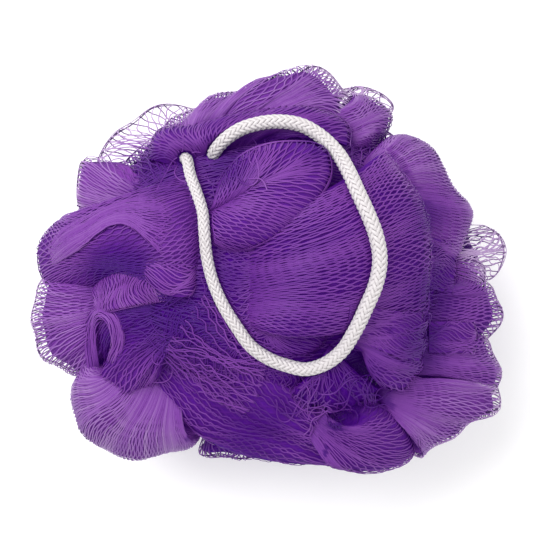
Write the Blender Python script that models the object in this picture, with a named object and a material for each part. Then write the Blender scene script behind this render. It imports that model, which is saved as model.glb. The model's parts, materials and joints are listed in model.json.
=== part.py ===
"""Mesh bath pouf: one long tube of net, gathered and tied at its middle so that it opens into a
ball of folds, with a braided hanging cord whose two ends go down into the gather.

Metres, +Z up. The pouf lies on a small flat spot at z = 0, its gather and its cord on top."""

import math

import bmesh
import bpy
import numpy as np

MM = 0.001

# Body of packed inner folds: centre and half sizes, mm
BODY_CENTRE = (-1.0, 1.0, 38.0)
BODY_LENGTH = 100.0
BODY_WIDTH = 82.0
BODY_HEIGHT = 58.0

# Ruffles round the sides and underneath: reach from the body's centre, mm
RUFFLE_LENGTH = 62.0
RUFFLE_WIDTH = 51.0
RUFFLE_HEIGHT = 40.0
RUFFLE_SPREAD = math.radians(30)
RUFFLE_THICKNESS = 5.0
RUFFLE_WAVE = 3.5
# Ripples along the rim of every other ruffle, and the share of the roll with which it leans back
RUFFLE_WAVES = (2, 1.5)
RUFFLE_LEANS = (-0.7, 1.0)
RUFFLE_RIM_POINTS = 7
# Each ring of ruffles: count, elevation and roll of its folds in degrees
RUFFLE_RINGS = ((12, -8.0, 58.0), (9, -34.0, 50.0), (5, -62.0, 42.0))
# Share of the full reach that each ruffle of the first ring has, from +X on towards +Y
FIRST_RING_REACH = (0.97, 0.86, 0.89, 0.9, 0.9, 0.88, 0.93, 1.0, 1.0, 1.0, 1.0, 1.0)

# Broad fold that the pouf lies on: half sizes and height of its middle, mm
REST_FOLD = (34.0, 28.0, 12.0)
REST_FOLD_MIDDLE = 11.0

# Hanging cord, mm
CORD_DIAMETER = 4.0
# How far the cord's ends lean in over the tie on their way up
CORD_LEAN = 0.8
# Distance between the points that the cord is drawn through, in diameters
CORD_POINT_PITCH = 2.0

# Tie round the neck of the gather, mm
TIE_CENTRE = (-19.0, 27.0, 36.0)
TIE_RADIUS = 6.0
TIE_TWINE = 2.2

CLEARANCE = 0.3

# Surface of the netting: size of the welded skin's cells, mm, and its number of triangles
SKIN_CELL = 1.3
SKIN_TRIANGLES = 8600
FOLD_ROWS = 16
FOLD_COLUMNS = 22


class Fold:
    """One fold of the net: a flat pocket of two layers, stretched over ribs of hand-chosen points.

    The first rib is its gathered root and the last one its free rim, each listed from one side of the
    fold to the other, in mm. A rib of one point is pinched. The layers part by thick at most on each
    side of the ribs, bulge outwards by lift, and ripple along the rim in waves."""

    def __init__(self, name, ribs, thick, lift=0.0, waves=0.0, wave_height=0.0):
        self.name = name
        self.ribs = [np.array(rib, float) for rib in ribs]
        self.thick = thick
        self.lift = lift
        self.waves = waves
        self.wave_height = wave_height


# Folds seen in the photograph's view, from the top of the ball to its rim, in mm
TOP_FOLDS = [
    Fold("left_wave", thick=3.5, lift=2.0, ribs=[
        [(-21.0, 25.0, 57.0), (-18.5, 15.0, 63.0), (-17.5, 4.5, 64.0), (-18.5, -4.0, 62.0)],
        [(-36.0, 19.0, 56.0), (-34.0, 11.5, 61.0), (-29.0, 4.5, 64.0), (-24.0, -8.0, 61.0)],
        [(-47.5, 15.0, 50.0), (-48.5, 7.5, 53.0), (-42.0, 3.0, 55.0), (-34.5, 0.0, 56.0)],
        [(-53.5, 13.5, 44.0), (-63.0, 6.0, 40.0), (-62.0, -2.5, 41.0), (-48.0, -6.5, 46.0)],
    ]),
    Fold("upper_leaf", thick=3.5, lift=4.0, ribs=[
        [(-16.0, 14.5, 61.0)],
        [(-13.5, 22.0, 64.0), (-7.5, 29.5, 67.0), (4.5, 33.0, 67.0), (14.5, 31.0, 66.0),
         (16.0, 26.0, 67.0), (12.5, 18.0, 70.0), (4.5, 10.5, 71.0), (-5.0, 5.5, 69.0),
         (-12.5, 4.0, 64.0)],
    ]),
    Fold("centre_sheet", thick=4.0, lift=2.0, ribs=[
        [(-15.0, 9.5, 58.0), (-14.5, 2.0, 58.0), (-11.5, -7.0, 59.0), (-7.0, -15.0, 60.0)],
        [(8.0, 16.5, 65.0), (10.5, 6.0, 69.0), (10.0, -4.0, 69.0), (5.0, -17.0, 66.0)],
        [(30.0, 31.5, 58.0), (41.0, 14.0, 58.0), (42.0, -0.5, 58.0), (40.5, -13.0, 57.0)],
    ]),
    Fold("fan_right", thick=3.5, lift=3.0, waves=4, wave_height=0.8, ribs=[
        [(17.5, -18.0, 64.0), (21.5, -20.5, 63.0)],
        [(41.5, -11.5, 56.0), (41.0, -18.5, 54.0), (40.0, -25.5, 52.0), (37.5, -30.0, 51.0),
         (31.0, -31.5, 51.0)],
    ]),
    Fold("fan_below", thick=3.5, lift=3.0, waves=5, wave_height=0.8, ribs=[
        [(15.5, -20.0, 62.0)],
        [(3.5, -33.0, 52.0), (9.5, -36.5, 51.0), (16.5, -38.0, 51.0), (23.5, -37.0, 51.0),
         (31.0, -33.0, 51.0)],
    ]),
    Fold("under_lip", thick=3.0, lift=1.0, ribs=[
        [(-9.0, -8.0, 60.0)],
        [(-5.5, -18.0, 59.0), (2.0, -22.0, 60.0), (10.0, -22.5, 61.0), (14.0, -19.5, 62.0),
         (15.5, -16.0, 62.0)],
    ]),
    Fold("hook_fold", thick=3.5, lift=2.0, ribs=[
        [(-19.5, -4.5, 56.0), (-20.5, -8.5, 55.0)],
        [(-29.5, 1.0, 57.0), (-37.5, -5.5, 55.0), (-38.0, -16.5, 52.0)],
        [(-38.5, 1.5, 54.0), (-44.5, -2.5, 52.0), (-47.5, -12.5, 49.0), (-44.5, -25.0, 46.0)],
    ]),
    Fold("left_strip", thick=3.5, lift=3.0, waves=4, wave_height=0.8, ribs=[
        [(-21.0, -6.0, 56.0), (-19.5, -9.5, 56.0), (-18.5, -14.0, 56.0)],
        [(-42.5, -15.5, 50.0), (-44.5, -25.0, 48.0), (-46.0, -32.0, 46.0), (-39.5, -34.5, 46.0),
         (-31.5, -31.0, 49.0), (-26.0, -24.5, 52.0)],
    ]),
    Fold("long_leaf", thick=4.0, lift=2.0, waves=3, wave_height=0.8, ribs=[
        [(-32.0, -16.5, 52.0), (-34.5, -28.0, 48.0)],
        [(-12.0, -20.0, 56.0), (-18.0, -44.5, 41.0)],
        [(8.0, -31.0, 53.0), (-2.0, -50.5, 38.0)],
        [(22.0, -46.5, 46.0), (20.5, -53.5, 39.0)],
    ]),
    Fold("bottom_lobe", thick=4.0, lift=5.0, ribs=[
        [(14.0, -34.5, 52.0), (10.0, -38.5, 50.0), (9.5, -44.0, 46.0)],
        [(19.0, -35.5, 53.0), (29.0, -36.5, 52.0), (35.5, -42.0, 48.0), (39.0, -48.0, 43.0),
         (39.0, -51.0, 40.0), (35.0, -53.0, 38.0), (27.0, -52.0, 38.0), (19.5, -51.0, 39.0),
         (14.0, -46.5, 44.0)],
    ]),
    Fold("lower_right", thick=4.0, lift=3.0, waves=5, wave_height=1.2, ribs=[
        [(30.5, -28.0, 48.0), (28.0, -33.0, 50.0), (30.5, -39.0, 47.0)],
        [(38.5, -29.5, 46.0), (52.0, -30.5, 41.0), (63.0, -33.0, 36.0), (63.0, -37.5, 34.0),
         (58.0, -40.5, 34.0), (49.5, -45.5, 34.0), (40.5, -51.5, 36.0), (34.5, -43.5, 45.0)],
    ]),
    Fold("right_low", thick=4.0, lift=3.0, waves=4, wave_height=1.2, ribs=[
        [(32.0, -17.0, 46.0), (30.5, -22.0, 48.0), (33.0, -28.0, 46.0)],
        [(46.0, -16.5, 44.0), (59.0, -19.0, 38.0), (61.5, -23.0, 36.0), (63.0, -27.5, 35.0),
         (63.0, -32.5, 35.0), (49.0, -32.5, 42.0)],
    ]),
    Fold("right_mid", thick=4.0, lift=3.0, waves=4, wave_height=1.2, ribs=[
        [(33.0, -4.5, 44.0), (31.5, -9.5, 46.0), (33.0, -15.5, 44.0)],
        [(46.0, -1.0, 42.0), (58.5, -3.0, 36.0), (62.0, -6.5, 34.0), (64.0, -11.0, 34.0),
         (62.0, -17.0, 35.0), (59.5, -20.0, 36.0), (46.0, -21.0, 42.0)],
    ]),
    Fold("lace_right", thick=3.0, lift=1.0, ribs=[
        [(41.0, 3.5, 40.0)],
        [(55.5, 12.0, 33.0), (60.5, 11.5, 31.0), (64.5, 8.5, 30.0), (65.5, 5.0, 30.0),
         (64.5, 1.5, 31.0), (61.5, -2.5, 32.0), (53.0, -2.0, 35.0)],
    ]),
    Fold("upper_right", thick=4.5, lift=4.0, waves=4, wave_height=1.0, ribs=[
        [(22.0, 26.5, 50.0), (20.5, 19.5, 52.0), (24.5, 10.0, 52.0)],
        [(31.0, 34.0, 44.0), (36.0, 35.5, 42.0), (43.5, 33.5, 40.0), (46.5, 28.0, 39.0),
         (51.0, 21.5, 38.0), (55.0, 14.5, 37.0), (53.5, 8.0, 38.0), (49.0, 2.0, 40.0),
         (40.5, 2.0, 46.0)],
    ]),
    Fold("top_small", thick=4.0, lift=3.0, ribs=[
        [(14.0, 39.0, 46.0), (14.0, 34.5, 48.0), (19.0, 30.0, 48.0)],
        [(22.5, 48.0, 42.0), (29.0, 46.0, 39.0), (33.0, 42.0, 37.0), (31.0, 36.0, 39.0),
         (28.0, 30.5, 44.0)],
    ]),
    Fold("lace_top", thick=3.0, lift=1.0, ribs=[
        [(14.0, 40.5, 40.0)],
        [(17.5, 48.5, 38.0), (21.0, 49.5, 36.0), (27.5, 49.5, 35.0), (31.5, 47.5, 35.0),
         (34.0, 44.5, 35.0), (32.0, 41.5, 36.0)],
    ]),
    Fold("top_rim", thick=4.5, lift=4.0, waves=5, wave_height=1.2, ribs=[
        [(-24.0, 27.5, 46.0), (-17.0, 30.5, 48.0), (-8.0, 33.0, 50.0)],
        [(-29.5, 36.5, 46.0), (-20.5, 43.0, 42.0), (-15.0, 46.5, 41.0), (-5.5, 49.0, 40.0),
         (4.0, 52.0, 40.0), (12.0, 55.0, 40.0), (15.5, 53.5, 40.0), (20.0, 49.0, 42.0),
         (22.0, 42.5, 46.0), (18.5, 35.5, 52.0)],
    ]),
    Fold("back_sheet", thick=4.0, lift=4.0, waves=3, wave_height=0.8, ribs=[
        [(-22.5, 26.5, 50.0), (-14.5, 29.0, 52.0), (-2.0, 32.0, 54.0)],
        [(-33.0, 29.0, 48.0), (-30.0, 37.0, 48.0), (-20.0, 39.0, 50.0), (-5.5, 42.0, 51.0),
         (10.5, 43.0, 52.0), (21.0, 38.0, 54.0), (21.0, 32.0, 57.0)],
    ]),
    Fold("lace_left", thick=3.0, lift=1.0, waves=3, wave_height=0.8, ribs=[
        [(-20.0, 24.0, 40.0)],
        [(-47.0, 20.5, 36.0), (-48.0, 27.5, 34.0), (-47.5, 31.0, 33.0), (-43.5, 36.5, 32.0),
         (-39.5, 40.0, 31.0), (-33.5, 44.0, 31.0), (-27.0, 45.5, 32.0), (-21.0, 44.0, 35.0)],
    ]),
    Fold("spike", thick=4.0, lift=3.0, ribs=[
        [(-32.0, 12.5, 50.0), (-28.0, 17.0, 50.0), (-23.0, 21.0, 50.0)],
        [(-49.5, 12.5, 44.0), (-52.0, 17.5, 43.0), (-52.5, 23.0, 43.0), (-51.0, 29.0, 42.0),
         (-46.0, 25.0, 42.0), (-38.5, 23.0, 47.0)],
    ]),
    Fold("left_lower", thick=4.5, lift=3.0, waves=4, wave_height=1.0, ribs=[
        [(-39.5, -3.5, 48.0), (-38.0, -10.0, 48.0), (-38.5, -18.5, 46.0)],
        [(-61.5, -2.0, 41.0), (-63.0, -5.0, 40.0), (-65.0, -11.0, 38.0), (-65.0, -14.5, 37.0),
         (-64.0, -21.5, 36.0), (-60.5, -25.5, 35.0), (-56.5, -27.5, 35.0), (-52.0, -27.5, 36.0),
         (-46.5, -26.5, 39.0)],
    ]),
    Fold("left_lobe", thick=5.5, lift=4.0, waves=4, wave_height=1.0, ribs=[
        [(-41.0, -25.0, 45.0), (-29.5, -26.0, 47.0), (-20.0, -33.5, 45.0)],
        [(-46.5, -26.5, 41.0), (-52.0, -30.5, 38.0), (-54.5, -35.5, 36.0), (-52.5, -41.5, 34.0),
         (-50.0, -46.5, 33.0), (-42.5, -51.0, 31.0), (-33.5, -51.0, 31.0), (-25.5, -49.0, 32.0),
         (-18.5, -44.5, 36.0), (-20.0, -38.5, 43.0)],
    ]),
    Fold("dark_tip", thick=3.0, lift=1.0, ribs=[
        [(-9.5, -39.5, 36.0)],
        [(-18.5, -46.5, 31.0), (-19.5, -51.5, 29.0), (-13.5, -52.0, 28.0), (-7.5, -53.0, 28.0),
         (-1.0, -51.5, 29.0)],
    ]),
]

# Points on the middle line of the hanging cord, from the gather round the loop and back, in mm
CORD_ROUTE = [
    (-22.0, 28.8, 57.5), (-20.9, 24.4, 61.6), (-19.2, 19.9, 64.8), (-17.5, 14.6, 68.0),
    (-17.0, 9.5, 69.8), (-16.5, 3.8, 69.0), (-15.3, -1.9, 67.9), (-12.4, -9.1, 67.2),
    (-8.8, -15.0, 66.4), (-5.0, -20.2, 65.0), (-0.3, -23.5, 63.6), (4.4, -25.3, 62.8),
    (9.1, -26.2, 63.5), (14.0, -24.8, 65.3), (18.3, -21.5, 67.2), (21.6, -16.3, 70.0),
    (24.7, -9.6, 72.0), (27.0, -3.9, 72.9), (28.0, 2.5, 73.4), (27.0, 8.5, 73.8),
    (24.7, 14.6, 73.6), (22.4, 19.8, 72.0), (20.2, 25.1, 68.8), (17.0, 30.8, 64.0),
    (12.9, 34.9, 62.0), (8.4, 37.5, 62.0), (3.1, 38.5, 62.1), (-2.7, 38.1, 61.7),
    (-8.0, 36.5, 61.0), (-11.7, 34.1, 60.2), (-14.4, 31.3, 57.8),
]


def clear_scene():
    for thing in list(bpy.data.objects):
        bpy.data.objects.remove(thing, do_unlink=True)


def material(name, colour, roughness):
    finish = bpy.data.materials.new(name)
    finish.use_nodes = True
    shader = finish.node_tree.nodes["Principled BSDF"]
    shader.inputs["Base Color"].default_value = (*colour, 1.0)
    shader.inputs["Roughness"].default_value = roughness
    shader.inputs["Metallic"].default_value = 0.0
    return finish


def knots(points):
    """Distance run along the points, as a share of the whole."""
    steps = np.linalg.norm(np.diff(points, axis=0), axis=-1)
    if steps.ndim > 1:
        steps = steps.mean(axis=1)
    run = np.concatenate([[0.0], np.cumsum(steps)])
    return run / run[-1]


def smooth_through(points, places):
    """A smooth curve through points, or through rows of points, read at places from 0 to 1."""
    if len(points) == 1:
        return np.repeat(points, len(places), axis=0)
    at = knots(points)
    slopes = np.gradient(points, at, axis=0)
    left = np.clip(np.searchsorted(at, places, side="right") - 1, 0, len(at) - 2)
    span = at[left + 1] - at[left]
    t = (places - at[left]) / span
    shape = (-1,) + (1,) * (points.ndim - 1)
    t, span = t.reshape(shape), span.reshape(shape)
    return ((2 * t**3 - 3 * t**2 + 1) * points[left] + (t**3 - 2 * t**2 + t) * span * slopes[left]
            + (3 * t**2 - 2 * t**3) * points[left + 1] + (t**3 - t**2) * span * slopes[left + 1])


def grid_normals(grid):
    """Unit normals of a grid of points, turned away from the body's centre."""
    along = np.gradient(grid, axis=0)
    across = np.gradient(grid, axis=1)
    normal = np.cross(along, across)
    size = np.linalg.norm(normal, axis=2, keepdims=True)
    inner = normal[1:-1, 1:-1].sum(axis=(0, 1))
    outward = grid.mean(axis=(0, 1)) - np.array(BODY_CENTRE)
    side = 1.0 if np.dot(inner, outward) >= 0 else -1.0
    mean = side * inner / np.linalg.norm(inner)
    return np.where(size > 1e-6, side * normal / np.maximum(size, 1e-6), mean)


def fold_layers(fold, rows, columns):
    """Front and back layer of a fold as grids of points: rows from root to rim, columns across."""
    u = np.sin(np.linspace(0, math.pi / 2, rows))
    v = (1 - np.cos(np.linspace(0, math.pi, columns))) / 2
    ribs = np.stack([smooth_through(rib, v) for rib in fold.ribs])
    grid = smooth_through(ribs, u)
    normal = grid_normals(grid)
    u, v = u[:, None, None], v[None, :, None]
    lift = fold.lift * np.sin(math.pi * u)
    wave = fold.wave_height * u**1.5 * np.sin(2 * math.pi * fold.waves * v)
    grid = grid + normal * (lift + wave)
    swell = np.sqrt(np.clip(1 - u**8, 0, 1) * np.clip(1 - (2 * v - 1)**8, 0, 1) * (1 - (1 - u)**6))
    half = normal * fold.thick * swell
    return grid + half, grid - half


def add_pocket(builder, front, back):
    """Adds the closed skin of a fold to the mesh that is being built."""
    rows, columns = front.shape[:2]
    for layer, flip in ((front, False), (back, True)):
        corners = [[builder.verts.new(point * MM) for point in row] for row in layer]
        for i in range(rows - 1):
            for j in range(columns - 1):
                ring = [corners[i][j], corners[i + 1][j], corners[i + 1][j + 1], corners[i][j + 1]]
                builder.faces.new(ring[::-1] if flip else ring)


def ruffle(elevation, turn, roll, spread, reach):
    """A fan of net from the body's centre, with its middle at an elevation and turn, rolled on its line."""
    out = np.array([math.cos(elevation) * math.cos(turn), math.cos(elevation) * math.sin(turn),
                    math.sin(elevation)])
    level = np.array([-math.sin(turn), math.cos(turn), 0.0])
    upright = np.cross(out, level)
    side = math.cos(roll) * level + math.sin(roll) * upright
    centre = np.array(BODY_CENTRE)
    rim = []
    for step in np.linspace(-1, 1, RUFFLE_RIM_POINTS):
        heading = math.cos(step * spread) * out + math.sin(step * spread) * side
        rim.append(centre + heading * np.array(reach))
    return [[tuple(centre)], [tuple(point) for point in rim]]


def hidden_ruffles():
    """The folds round the sides and underneath, ring by ring."""
    folds = []
    for ring, (count, elevation, roll) in enumerate(RUFFLE_RINGS):
        for k in range(count):
            turn = 2 * math.pi * (k + 0.5 * ring) / count
            lean = math.radians(roll) * RUFFLE_LEANS[k % 2]
            share = 1.0 if ring else FIRST_RING_REACH[k]
            reach = (RUFFLE_LENGTH * share, RUFFLE_WIDTH * share, RUFFLE_HEIGHT * share)
            ribs = ruffle(math.radians(elevation), turn, lean, RUFFLE_SPREAD, reach)
            waves = RUFFLE_WAVES[k % 2]
            folds.append(Fold(f"ruffle_{ring}_{k}", ribs, RUFFLE_THICKNESS, 0.0, waves, RUFFLE_WAVE))
    return folds


def add_lobe(builder, centre, half_sizes):
    """Adds a closed rounded lobe, with its centre and half sizes in mm."""
    ball = bmesh.ops.create_uvsphere(builder, u_segments=48, v_segments=24, radius=1.0)
    bmesh.ops.scale(builder, vec=[half * MM for half in half_sizes], verts=ball["verts"])
    bmesh.ops.translate(builder, vec=[c * MM for c in centre], verts=ball["verts"])


def skin_of_folds(folds):
    """All folds and the packed body in one mesh, each still a skin of its own."""
    builder = bmesh.new()
    for fold in folds:
        front, back = fold_layers(fold, FOLD_ROWS, FOLD_COLUMNS)
        add_pocket(builder, front, back)
    bmesh.ops.remove_doubles(builder, verts=builder.verts, dist=1e-6)
    add_lobe(builder, BODY_CENTRE, (BODY_LENGTH / 2, BODY_WIDTH / 2, BODY_HEIGHT / 2))
    add_lobe(builder, (BODY_CENTRE[0], BODY_CENTRE[1], REST_FOLD_MIDDLE), REST_FOLD)
    bmesh.ops.recalc_face_normals(builder, faces=builder.faces)
    mesh = bpy.data.meshes.new("netting")
    builder.to_mesh(mesh)
    builder.free()
    netting = bpy.data.objects.new("netting", mesh)
    bpy.context.collection.objects.link(netting)
    return netting


def modifier(thing, kind, name, **settings):
    added = thing.modifiers.new(name, kind)
    for key, value in settings.items():
        setattr(added, key, value)
    return added


def apply_modifiers(thing):
    """Keeps the shape that the modifiers give and drops the modifiers."""
    graph = bpy.context.evaluated_depsgraph_get()
    shaped = bpy.data.meshes.new_from_object(thing.evaluated_get(graph), depsgraph=graph)
    thing.modifiers.clear()
    thing.data = shaped


def press_flat(netting):
    """Cuts the netting off at z = 0, where the pouf rests, and closes the cut with flat faces."""
    builder = bmesh.new()
    builder.from_mesh(netting.data)
    parts = builder.verts[:] + builder.edges[:] + builder.faces[:]
    cut = bmesh.ops.bisect_plane(builder, geom=parts, plane_co=(0, 0, 0), plane_no=(0, 0, -1),
                                 clear_outer=True)
    rim = [part for part in cut["geom_cut"] if isinstance(part, bmesh.types.BMEdge)]
    bmesh.ops.triangle_fill(builder, edges=rim, use_dissolve=False, use_beauty=True)
    bmesh.ops.recalc_face_normals(builder, faces=builder.faces)
    builder.to_mesh(netting.data)
    builder.free()


def tube(name, points, diameter, sides, closed=False):
    """A round cord along points in mm."""
    curve = bpy.data.curves.new(name, "CURVE")
    curve.dimensions = "3D"
    curve.bevel_depth = diameter / 2 * MM
    curve.bevel_resolution = sides
    curve.use_fill_caps = not closed
    spline = curve.splines.new("POLY")
    spline.points.add(len(points) - 1)
    for place, point in zip(spline.points, points):
        place.co = (*(np.array(point) * MM), 1.0)
    spline.use_cyclic_u = closed
    thing = bpy.data.objects.new(name, curve)
    bpy.context.collection.objects.link(thing)
    return thing


def ring_points(centre, radius, count):
    turns = [2 * math.pi * k / count for k in range(count)]
    x, y, z = centre
    return [(x + radius * math.cos(t), y + radius * math.sin(t), z) for t in turns]


def cord_points():
    """The cord's route with its two ends down at the tie, read every few millimetres."""
    x, y, z = TIE_CENTRE
    end = z + TIE_TWINE / 2 + CLEARANCE
    half_way = (end + CORD_ROUTE[0][2]) / 2
    start_dive = [(x - TIE_RADIUS, y, end), (x - TIE_RADIUS + CORD_LEAN, y + CORD_LEAN, half_way)]
    back_dive = [(x + TIE_RADIUS - CORD_LEAN, y + CORD_LEAN, half_way), (x + TIE_RADIUS, y, end)]
    route = np.array(start_dive + CORD_ROUTE + back_dive)
    length = np.linalg.norm(np.diff(route, axis=0), axis=1).sum()
    count = int(length / (CORD_POINT_PITCH * CORD_DIAMETER)) + 1
    return smooth_through(route, np.linspace(0, 1, count))


def cutter_of(thing_points, diameter, closed=False):
    """A tube that is cut out of the netting, as a mesh."""
    guide = tube("room", thing_points, diameter, 3, closed)
    graph = bpy.context.evaluated_depsgraph_get()
    mesh = bpy.data.meshes.new_from_object(guide.evaluated_get(graph), depsgraph=graph)
    bpy.data.objects.remove(guide, do_unlink=True)
    cutter = bpy.data.objects.new("room_cutter", mesh)
    cutter.hide_render = True
    cutter.display_type = "WIRE"
    bpy.context.collection.objects.link(cutter)
    return cutter


def make_netting(cord_line):
    netting = skin_of_folds(TOP_FOLDS + hidden_ruffles())
    modifier(netting, "REMESH", "weld", mode="VOXEL", voxel_size=SKIN_CELL * MM)
    apply_modifiers(netting)
    share = SKIN_TRIANGLES / (2 * len(netting.data.polygons))
    modifier(netting, "DECIMATE", "skin", decimate_type="COLLAPSE", ratio=share)
    apply_modifiers(netting)
    press_flat(netting)
    room = CORD_DIAMETER + 2 * CLEARANCE
    for points, width, closed in ((cord_line, room, False),
                                  (ring_points(TIE_CENTRE, TIE_RADIUS, 20), TIE_TWINE + 2 * CLEARANCE, True)):
        cutter = cutter_of(points, width, closed)
        modifier(netting, "BOOLEAN", "room", operation="DIFFERENCE", object=cutter, solver="EXACT")
        apply_modifiers(netting)
        bpy.data.objects.remove(cutter, do_unlink=True)
    netting.data.materials.clear()
    netting.data.materials.append(material("violet_net", (0.19, 0.05, 0.36), 0.45))
    return netting


def make_cord(cord_line):
    cord = tube("hanging_cord", cord_line, CORD_DIAMETER, 2)
    cord.data.materials.append(material("white_braid", (0.86, 0.84, 0.88), 0.5))
    return cord


def make_tie():
    tie = tube("centre_tie", ring_points(TIE_CENTRE, TIE_RADIUS, 20), TIE_TWINE, 2, closed=True)
    tie.data.materials.append(material("white_twine", (0.82, 0.80, 0.84), 0.6))
    return tie


def main():
    clear_scene()
    cord_line = cord_points()
    make_netting(cord_line)
    make_cord(cord_line)
    make_tie()


main()
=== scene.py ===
"""Mesh bath pouf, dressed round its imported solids: separate crossing strands of net over every fold, the
inner layers of net behind them, loose loops at the net's cut end, a braided cord and a wound tie."""

import functools
import json
import math

import bpy
import numpy as np
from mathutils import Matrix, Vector
from mathutils.bvhtree import BVHTree

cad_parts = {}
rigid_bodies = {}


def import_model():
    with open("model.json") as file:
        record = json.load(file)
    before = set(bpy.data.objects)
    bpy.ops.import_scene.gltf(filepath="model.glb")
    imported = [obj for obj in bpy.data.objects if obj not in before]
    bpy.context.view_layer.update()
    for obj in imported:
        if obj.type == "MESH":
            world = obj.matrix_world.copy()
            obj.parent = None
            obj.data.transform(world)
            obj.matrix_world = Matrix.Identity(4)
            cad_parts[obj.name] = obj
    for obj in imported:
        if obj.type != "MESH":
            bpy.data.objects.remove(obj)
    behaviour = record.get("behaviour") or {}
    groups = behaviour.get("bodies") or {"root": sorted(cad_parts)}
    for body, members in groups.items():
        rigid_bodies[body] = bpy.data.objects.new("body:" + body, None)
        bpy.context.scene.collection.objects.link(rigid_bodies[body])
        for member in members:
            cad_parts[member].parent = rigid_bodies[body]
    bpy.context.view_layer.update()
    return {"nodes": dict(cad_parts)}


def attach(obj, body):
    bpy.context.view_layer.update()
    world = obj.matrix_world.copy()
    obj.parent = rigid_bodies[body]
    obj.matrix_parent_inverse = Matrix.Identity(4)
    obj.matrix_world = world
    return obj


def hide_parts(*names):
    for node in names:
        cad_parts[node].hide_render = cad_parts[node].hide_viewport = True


bl_info = {
    "name": "Mesh bath pouf",
    "version": (1, 0, 0),
    "blender": (4, 5, 0),
    "location": "View3D > Sidebar > Pouf",
    "description": "Dresses a gathered net pouf with strands, inner layers and a braided cord",
    "category": "Object",
}

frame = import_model()

MM = 0.001

# Frame of the photograph: millimetres for each pixel in the plane at the pouf's middle height, the pixel
# that the pouf's origin falls on, and the camera's distance from that plane, mm
PICTURE_SIDE = 533
PICTURE_SCALE = 0.2743
PICTURE_ORIGIN = (270.1, 268.7)
MIDDLE_HEIGHT = 38.0
CAMERA_DISTANCE = 520.0
SENSOR = 36.0

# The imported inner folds, as in the solids, mm
BODY_CENTRE = (-1.0, 1.0, 38.0)
BODY_HALF = (50.0, 41.0, 29.0)
REST_FOLD_HALF = (34.0, 28.0, 12.0)
REST_FOLD_MIDDLE = 11.0

# Ruffles round the sides and underneath, as in the solids: reach, mm, and rings of count, elevation, roll
RUFFLE_REACH = (62.0, 51.0, 40.0)
RUFFLE_SPREAD = math.radians(30)
RUFFLE_THICKNESS = 5.0
RUFFLE_WAVE = 3.5
RUFFLE_RINGS = ((12, -8.0, 58.0), (9, -34.0, 50.0), (5, -62.0, 42.0))

# Share of the full reach that each ruffle has, ring by ring, from +X on towards +Y
RUFFLE_SHARES = (
    (0.97, 0.86, 0.89, 0.9, 0.9, 0.86, 0.88, 1.0, 1.0, 1.0, 1.0, 1.0),
    (1.0, 1.0, 1.0, 0.92, 0.92, 1.0, 1.0, 1.0, 1.0),
    (1.0, 1.0, 1.0, 1.0, 1.0),
)

# Height above which ruffles are pressed down, mm, and the share of what stands above it that goes
RUFFLE_CEILING = 38.0
CEILING_PRESS = 0.85

# Ruffles of the first ring with a see-through rim, and how much of a ruffle has no layers behind it
OPEN_RUFFLES = (0, 11)
OPEN_RIM = 0.12
CLOSED_RIM = 0.04

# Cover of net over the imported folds: from where to where along X, mm, and its share of their width
BALL_COVER_X = (-44, 42)
BALL_COVER_REACH = 0.96

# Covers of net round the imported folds: how many, how far outside, mm, and the elevations of their ribs
BELLY_COVERS = 6
BELLY_LIFT = 0.3
BELLY_ELEVATIONS = (38, 20, 0, -20, -40, -58)

# Rows and columns of the grid on which a fold's strands are laid, from root to rim and across
LOOP_ROWS = 41
LOOP_COLUMNS = 81

# Tie and the ends of the cord, as in the solids, mm
TIE_CENTRE = (-19.0, 27.0, 36.0)
TIE_RADIUS = 6.0
TIE_TWINE = 2.2
CORD_LEAN = 0.8
CLEARANCE = 0.3

# How far the net keeps from the cord's middle line, mm: its strands, its loose curls and its layers
STRAND_ROOM = 2.45
CURL_ROOM = 2.3
LAYER_ROOM = 2.3

# Lowest that the strands and the layers come to the floor, mm
STRAND_FLOOR = 0.1
LAYER_FLOOR = 0.3

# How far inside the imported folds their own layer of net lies, mm
LOBE_INSET = 0.6

# Rays and their length in mm, for how open to the light each place in the folds is
OPEN_RAYS = 24
OPEN_REACH = 16.0

# How far off the netting those rays start, mm, how wide they spread, and the light that a near fold gives
RAY_START = 0.6
RAY_SPREAD = 0.98
FOLD_LIGHT = 0.55

# How a fold's strands run, in gaps between strands: uneven starts, drift, open cells and stray lines
START_JITTER = 0.1
STRAND_DRIFT = 2.2
CELL_OPENING = 0.4
STRAND_STRAY = 0.09
TANGLE_STRAY = 1.6

# How far the places of open cells shift from strand to strand, in radians, and how flat their sides are
CELL_WANDER = 1.9
CELL_SWING = 1.35

# How strongly strands bunch, how far they stand off the fold, mm, and how much their tones differ
BUNCHING = 0.3
STRAND_RISE = 0.06
RISE_SPREAD = 0.12
TONE_SPREAD = 0.08

# Openness at which the net's painted shade is darkest and its painted light lightest, and the heights over
# which the gather's painted shade comes in, mm
LIGHT_RANGE = (0.2, 0.8)
SHADED_HEIGHTS = (25.0, 35.0)

# Painted light that a lip of net keeps at least, as a share
LIP_LIGHT = 0.75

# Seeds of the random draws: light, the first fold's strands, and the loose curls
LIGHT_SEED = 5
STRAND_SEED = 1000
CURL_SEED = 77

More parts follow.
